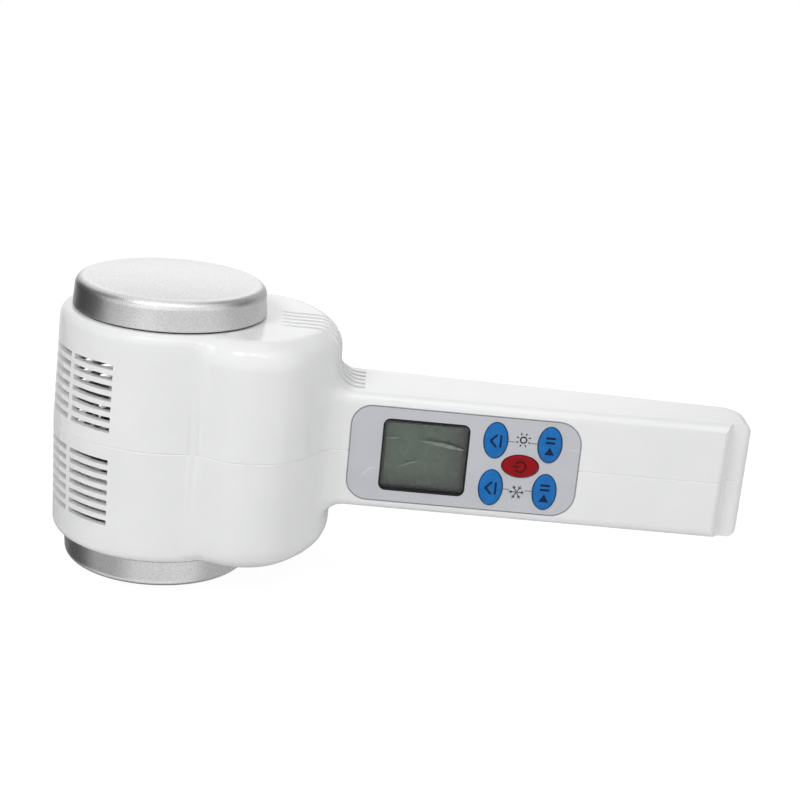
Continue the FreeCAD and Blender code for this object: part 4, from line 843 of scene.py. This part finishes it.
def slab(outline, front, back):
    """Closed plate between two heights over one outline."""
    count = len(outline)
    points = [place(x, front, z) for x, z in outline] + [place(x, back, z) for x, z in outline]
    faces = [tuple(range(count)), tuple(range(2 * count - 1, count - 1, -1))]
    for i in range(count):
        j = (i + 1) % count
        faces.append((i, count + i, count + j, j))
    return points, faces


def joined(parts):
    points = []
    faces = []
    for some_points, some_faces in parts:
        shift = len(points)
        points += list(some_points)
        faces += [tuple(i + shift for i in face) for face in some_faces]
    return points, faces


smooth_node("label_film", "panel_label", "casing", SILVER_FILM)

LABEL_RADII = (LABEL_CORNER_L, LABEL_CORNER_R, LABEL_CORNER_R, LABEL_CORNER_L)


def grown(outlines, factor):
    return [[(factor * u, factor * v) for u, v in outline] for outline in outlines]


def label_border():
    outer, inner = (rounded_outline(LABEL_X0, LABEL_X1, LABEL_HALF, LABEL_RADII, inset)
                    for inset in LABEL_LINE)
    points, faces = band(outer, inner, LABEL_FACE - INK_RISE, LABEL_FACE + INK_ROOT)
    finished("label_border", mesh_from(points, faces), "casing", [INK_GREY])


label_border()


def icon_bar(u0, v0, u1, v1, width):
    """Outline of a straight stroke."""
    length = math.hypot(u1 - u0, v1 - v0)
    nu = -(v1 - v0) / length * 0.5 * width
    nv = (u1 - u0) / length * 0.5 * width
    return [(u0 + nu, v0 + nv), (u0 - nu, v0 - nv), (u1 - nu, v1 - nv), (u1 + nu, v1 + nv)]


def icon_ring(radius, width, first_deg, last_deg, count=40):
    """Outline of a round stroke from one angle to another."""
    outer = []
    inner = []
    for i in range(count + 1):
        turn = math.radians(first_deg + (last_deg - first_deg) * i / count)
        outer.append(((radius + 0.5 * width) * math.cos(turn), (radius + 0.5 * width) * math.sin(turn)))
        inner.append(((radius - 0.5 * width) * math.cos(turn), (radius - 0.5 * width) * math.sin(turn)))
    return outer + inner[::-1]


def sun_icon():
    disc_r, disc_line = 0.85, 0.42
    ray_from, ray_to, ray_line = 1.45, 2.15, 0.34
    parts = [icon_ring(disc_r, disc_line, 0, 180), icon_ring(disc_r, disc_line, 180, 360)]
    for k in range(8):
        turn = math.radians(45 * k + 22.5)
        c, s = math.cos(turn), math.sin(turn)
        parts.append(icon_bar(ray_from * c, ray_from * s, ray_to * c, ray_to * s, ray_line))
    return parts


def snow_icon():
    arm_from, arm_to, arm_line = 0.12, 2.15, 0.26
    fork_at, fork_length, fork_line, fork_lean = 1.25, 0.7, 0.22, 0.75
    parts = []
    for k in range(6):
        turn = math.radians(60 * k + 30)
        c, s = math.cos(turn), math.sin(turn)
        parts.append(icon_bar(arm_from * c, arm_from * s, arm_to * c, arm_to * s, arm_line))
        for lean in (-fork_lean, fork_lean):
            tip = turn + lean
            u, v = fork_at * c, fork_at * s
            parts.append(icon_bar(u, v, u + fork_length * math.cos(tip), v + fork_length * math.sin(tip),
                                  fork_line))
    return parts


def set_icon():
    """An arrow head over a bar."""
    line = 0.50
    return [icon_bar(-1.5, -0.2, 0.03, 1.25, line), icon_bar(-0.03, 1.25, 1.5, -0.2, line),
            icon_bar(-1.5, -1.1, 1.5, -1.1, line)]


def start_icon():
    """Play and pause."""
    triangle = [(-2.3, -1.15), (-2.3, 1.15), (-0.35, 0.0)]
    return [triangle] + [icon_bar(u, -1.1, u, 1.1, 0.55) for u in (0.65, 1.75)]


def power_icon():
    """An open ring with a bar in its gap."""
    line = 0.46
    return [icon_ring(1.45, line, 122, 418), icon_bar(0.0, 0.35, 0.0, 2.0, line)]


def printed(name, icons, body, material, face_y):
    """Thin raised ink. Icons read from the handle's lower side to its upper side."""
    parts = []
    for x, z, outlines in icons:
        for outline in outlines:
            flat = [(x - v, z + u) for u, v in outline]
            points, faces = slab(flat, 0.0, 0.0)
            middle = (sum(p[0] for p in flat) / len(flat), sum(p[1] for p in flat) / len(flat))
            front = min(face_y(px, pz) for px, pz in flat + [middle]) - INK_RISE
            placed = [place(px, front, pz) for px, pz in flat]
            placed += [place(px, face_y(px, pz) + INK_ROOT, pz) for px, pz in flat]
            parts.append((placed, faces))
    points, faces = joined(parts)
    finished(name, mesh_from(points, faces), body, [material])


def on_label(x, z):
    return LABEL_FACE


SYMBOLS = [(112.6, 8.6, grown(sun_icon(), 1.12)), (112.3, -8.6, grown(snow_icon(), 1.12))]
printed("label_symbols", SYMBOLS, "casing", INK_TEXT, on_label)

DASH_WIDTH = 0.28
DASHES = ((107.9, 110.0, 7.75), (115.1, 117.1, 7.75), (107.8, 109.9, -7.9), (114.8, 117.1, -7.9))
BARS = [(0.5 * (x0 + x1), z, [icon_bar(0.0, -0.5 * (x1 - x0), 0.0, 0.5 * (x1 - x0), DASH_WIDTH)])
        for x0, x1, z in DASHES]
printed("label_dashes", BARS, "casing", INK_GREY, on_label)


def key_height(name):
    """Height of the key's crowned face at a place on it."""
    kx, kz, a, b = KEYS[name]

    def height(x, z):
        inside = 1 - ((x - kx) / a)**2 - ((z - kz) / b)**2
        return KEY_FRONT - KEY_CROWN * max(inside, 0.0)
    return height


def key_cap(name):
    """An oval key with its flange, a rounded rim and a slightly crowned face, and its symbol."""
    kx, kz, a, b = KEYS[name]
    loops = [(KEY_FLANGE, KEY_BACK), (KEY_FLANGE, KEY_FLANGE_FRONT), (0.0, KEY_FLANGE_FRONT)]
    loops += [(grow, KEY_FRONT + back) for grow, back in KEY_ROUND]
    count = 96
    points = []
    for grow, y in loops:
        points += [place(x, y, z) for x, z in oval_outline(kx, kz, a + grow, b + grow, count)]
    shape = key_height(name)
    steps = 7
    for k in range(1, steps):
        share = 1 - k / steps
        ring = oval_outline(kx, kz, (a + KEY_ROUND[-1][0]) * share, (b + KEY_ROUND[-1][0]) * share, count)
        points += [place(x, shape(x, z), z) for x, z in ring]
    rings = len(loops) + steps - 1
    faces = wall_faces(rings, count)
    points += [place(kx, KEY_BACK, kz), place(kx, shape(kx, kz), kz)]
    last = (rings - 1) * count
    for i in range(count):
        j = (i + 1) % count
        faces.append((j, i, len(points) - 2))
        faces.append((last + i, last + j, len(points) - 1))
    if name == "hold":
        slot, colour, ink, icon = "key_red", RED, INK_RED, grown(power_icon(), 1.15)
    else:
        icon = grown(set_icon() if name.endswith("set") else start_icon(), 1.35)
        slot, colour, ink = "key_blue", BLUE, INK_DARK
    body = name + "_button"
    finished("keycap_" + name, mesh_from(points, faces, 40.0), body, [colour], ["key_" + name])
    printed("symbol_" + name, [(kx, kz, icon)], body, ink, shape)


for key_name in KEYS:
    key_cap(key_name)


def display_window():
    """The clear lens, the black border behind it, and the print round and inside the label's window."""
    half_w = 0.5 * LCD_W
    half_h = 0.5 * LCD_H
    x0, x1 = LCD_X - half_w, LCD_X + half_w

    def window(low, high, tall, corner, inset=0.0):
        """The window's outline, let out at low X, at high X and along Z."""
        return rounded_outline(x0 - low, x1 + high, half_h + tall, (corner,) * 4, inset, 8)

    rim = window(LENS_RIM, LENS_RIM, LENS_RIM, LENS_CORNER_R)
    front = window(LENS_RIM, LENS_RIM, LENS_RIM, LENS_CORNER_R, LENS_BEVEL)
    points = [place(x, LENS_FRONT, z) for x, z in front]
    points += [place(x, LENS_FRONT + LENS_BEVEL, z) for x, z in rim]
    points += [place(x, LENS_BACK, z) for x, z in rim]
    count = len(front)
    faces = [tuple(range(count)), tuple(range(3 * count - 1, 2 * count - 1, -1))] + wall_faces(3, count)
    finished("display_lens", mesh_from(points, faces), "casing", [LENS], ["lcd_lens"])
    low, high, tall = BORDER_INSIDE
    outer = window(LENS_RIM - 0.1, LENS_RIM - 0.1, LENS_RIM - 0.1, LENS_CORNER_R)
    inner = window(-low, -high, -tall, BORDER_CORNER_R)
    points, faces = band(outer, inner, LENS_BACK + 0.005, LENS_BACK + INK_ROOT)
    finished("display_border", mesh_from(points, faces), "casing", [BLACK_INK])
    beyond, tall, corner = WINDOW_PRINT
    edge = window(0.0, 0.0, 0.0, WINDOW_CORNER_R)
    ring = band(window(beyond, beyond, tall, corner), edge, LABEL_FACE - INK_RISE, LABEL_FACE + INK_ROOT)
    inner = window(0.0, 0.0, 0.0, WINDOW_CORNER_R, WINDOW_SLEEVE)
    sleeve = band(edge, inner, LABEL_FACE - INK_RISE, LENS_FRONT - 0.01)
    points, faces = joined((ring, sleeve))
    finished("window_print", mesh_from(points, faces), "casing", [BLACK_INK])


display_window()


# The film's real creases, drawn as lighter strips that carry a painted reflection.
CREASE_RISE = 0.03
CREASE_BACK = 0.005
CREASE_TIP = 0.12        # least width at the ends, as a share
DISPLAY_SHEEN_STRIPS = (      # width, and points along the crease
    (1.30, ((80.9, 5.15), (83.4, 5.0), (86.0, 4.7), (88.6, 4.35), (91.2, 3.95), (93.2, 3.6), (94.8, 3.3))),
    (0.50, ((74.9, -4.0), (76.4, -3.1), (78.2, -2.3), (80.0, -1.8), (81.5, -1.5))),
    (0.42, ((70.2, 5.2), (71.6, 5.3), (73.0, 5.45), (74.6, 5.6))),
)
LABEL_SHEEN_STRIPS = (
    (0.30, ((63.6, -7.6), (64.8, -6.2), (66.2, -5.1), (67.7, -4.4))),
    (0.20, ((127.0, 6.6), (128.4, 6.7), (129.6, 6.7))),
)


def crease_sheen_strips(name, face, material, strips):
    """Creases of the clear film over the panel, as thin tapering strips whose lighter colour is a painted
    reflection.
    """
    parts = []
    for width, path in strips:
        upper = []
        lower = []
        last = len(path) - 1
        for k, (x, z) in enumerate(path):
            ahead = path[min(k + 1, last)]
            behind = path[max(k - 1, 0)]
            length = math.hypot(ahead[0] - behind[0], ahead[1] - behind[1])
            across = (-(ahead[1] - behind[1]) / length, (ahead[0] - behind[0]) / length)
            half = 0.5 * width * max(math.sin(math.pi * (k + 0.25) / (last + 0.5)), CREASE_TIP)
            upper.append((x + across[0] * half, z + across[1] * half))
            lower.append((x - across[0] * half, z - across[1] * half))
        parts.append(slab(upper + lower[::-1], face - CREASE_RISE, face - CREASE_BACK))
    points, faces = joined(parts)
    finished(name, mesh_from(points, faces), "casing", [material])


crease_sheen_strips("sheen_strips_display", LENS_FRONT, DISPLAY_CREASE_SHEEN, DISPLAY_SHEEN_STRIPS)
crease_sheen_strips("sheen_strips_label", LABEL_FACE, LABEL_CREASE_SHEEN, LABEL_SHEEN_STRIPS)

# ---- inlet, and what shows through the louvres ----
smooth_node("inlet_body", "dc_jack", "casing", BLACK)
smooth_node("inlet_pin", "dc_jack_pin", "casing", SHAFT)
smooth_node("sink_fins", "heatsink", "casing", FINS, 25.0)
smooth_node("clamp_ring", "warm_clamp", "casing", NYLON)
smooth_node("fan_housing", "fan_frame", "casing", BLACK)
smooth_node("fan_blades", "fan_rotor", "fan", BLACK)
smooth_node("leads_heater", "heater_leads", "casing", LEAD_WHITE, 60.0)
smooth_node("leads_module", "tec_leads", "casing", LEAD_WHITE, 60.0)
smooth_node("leads_fan", "fan_leads", "casing", LEAD_RED, 60.0)
smooth_node("leads_supply", "supply_leads", "casing", LEAD_RED, 60.0)

# ---- CAD nodes that keep their own mesh ----
KEPT = {
    "warm_clamp_screws": STEEL, "cold_clamp_screws": STEEL, "fan_screws": STEEL, "control_screws": STEEL,
    "heater_disc": HEATER, "heater_felt": FELT, "thermal_cutout": EPOXY, "warm_sensor": EPOXY,
    "cold_sensor": EPOXY, "tec_ceramics": ALUMINA, "tec_pellets": ALLOY, "cold_foam_collar": FOAM,
    "cold_screw_bushings": NYLON, "fan_bearing": BRONZE, "fan_stator": COIL, "fan_magnet": MAGNET,
    "fan_shaft": SHAFT, "lcd_front_glass": DISPLAY, "lcd_rear_glass": DISPLAY, "lcd_frame": BLACK,
    "zebra_strips": MAGNET, "switch_bodies": EPOXY, "control_board": BOARD, "control_chip": EPOXY,
    "buzzer": EPOXY, "driver_board": BOARD, "driver_inductor": FERRITE, "driver_capacitors": SLEEVE,
    "driver_transistors": EPOXY, "board_connectors": CONNECTOR, "display_ribbon": RIBBON,
    "plunger_warm_set": EPOXY, "plunger_warm_start": EPOXY, "plunger_hold": EPOXY,
    "plunger_cool_set": EPOXY, "plunger_cool_start": EPOXY,
}
for node_name, material in KEPT.items():
    for slot_index in range(len(NODES[node_name].material_slots)):
        NODES[node_name].material_slots[slot_index].material = material


# ---- floor, light and camera ----
def floor():
    mesh = bpy.data.meshes.new("studio_floor")
    z = cad_low.z - FLOOR_GAP
    corners = [(x * FLOOR_HALF, y * FLOOR_HALF, z) for x, y in ((-1, -1), (1, -1), (1, 1), (-1, 1))]
    mesh.from_pydata(corners, [], [(0, 1, 2, 3)])
    mesh.materials.append(floor_pale())
    piece = bpy.data.objects.new("studio_floor", mesh)
    bpy.context.scene.collection.objects.link(piece)


def world():
    """Even light on the object, white behind it, and soft bright and dark sides in its reflections."""
    made = bpy.data.worlds.new("studio")
    made.use_nodes = True
    tree = made.node_tree
    tree.nodes.clear()

    def add(kind, inputs=None, **properties):
        return new_node(tree, kind, inputs, **properties).outputs

    path = add("ShaderNodeLightPath")
    where = add("ShaderNodeTexCoord")["Generated"]
    level = GLOSS_LEVEL
    for turn, height, inner, outer, strength in GLOSS_SIDES:
        turn, height = math.radians(turn), math.radians(height)
        toward = (math.sin(turn) * math.cos(height), math.cos(turn) * math.cos(height), math.sin(height))
        near = add("ShaderNodeVectorMath", {0: where, 1: toward}, operation="DOT_PRODUCT")["Value"]
        wide, tight = math.cos(math.radians(outer)), math.cos(math.radians(inner))
        edges = {"Value": near, "From Min": wide, "From Max": tight}
        share = add("ShaderNodeMapRange", edges, interpolation_type="SMOOTHSTEP")["Result"]
        level = add("ShaderNodeMix", {0: share, 2: level, 3: strength})[0]
    seen = add("ShaderNodeMath", {0: path["Is Camera Ray"], 1: path["Is Transmission Ray"]},
               operation="MAXIMUM")[0]
    plain = add("ShaderNodeMix", {0: seen, 2: WORLD_LEVEL, 3: 1.0})[0]
    strength = add("ShaderNodeMix", {0: path["Is Glossy Ray"], 2: plain, 3: level})[0]
    back = add("ShaderNodeBackground", {"Color": (1.0, 1.0, 1.0, 1.0), "Strength": strength})
    add("ShaderNodeOutputWorld", {"Surface": back[0]})
    bpy.context.scene.world = made


def lamp(name, position, target, size, power):
    """A soft rectangular light that leaves no highlight of its own."""
    data = bpy.data.lights.new(name, "AREA")
    data.shape = "RECTANGLE"
    data.size, data.size_y = size
    data.energy = power
    item = bpy.data.objects.new(name, data)
    item.location = position
    away = Vector(target) - Vector(position)
    item.rotation_mode = "QUATERNION"
    item.rotation_quaternion = away.to_track_quat("-Z", "Y")
    item.visible_glossy = False
    bpy.context.scene.collection.objects.link(item)


def camera():
    flat = math.cos(CAMERA_RISE)
    back = Vector((math.sin(CAMERA_TURN) * flat, -math.cos(CAMERA_TURN) * flat, math.sin(CAMERA_RISE)))
    level = Vector((math.cos(CAMERA_TURN), math.sin(CAMERA_TURN), 0.0))
    upright = back.cross(level)
    right = math.cos(CAMERA_ROLL) * level - math.sin(CAMERA_ROLL) * upright
    up = math.sin(CAMERA_ROLL) * level + math.cos(CAMERA_ROLL) * upright
    data = bpy.data.cameras.new("camera")
    data.sensor_width = SENSOR_WIDTH
    data.lens = SENSOR_WIDTH * FOCAL_PIXELS / FRAME_PIXELS
    data.clip_start, data.clip_end = 0.01, 20.0
    item = bpy.data.objects.new("camera", data)
    item.rotation_mode = "QUATERNION"
    item.rotation_quaternion = Matrix((right, up, back)).transposed().to_quaternion()
    item.location = place(*CAMERA_PLACE)
    bpy.context.scene.collection.objects.link(item)
    bpy.context.scene.camera = item


floor()
world()
for lamp_values in LAMPS:
    lamp(*lamp_values)
camera()
bpy.context.scene.view_settings.view_transform = "Standard"
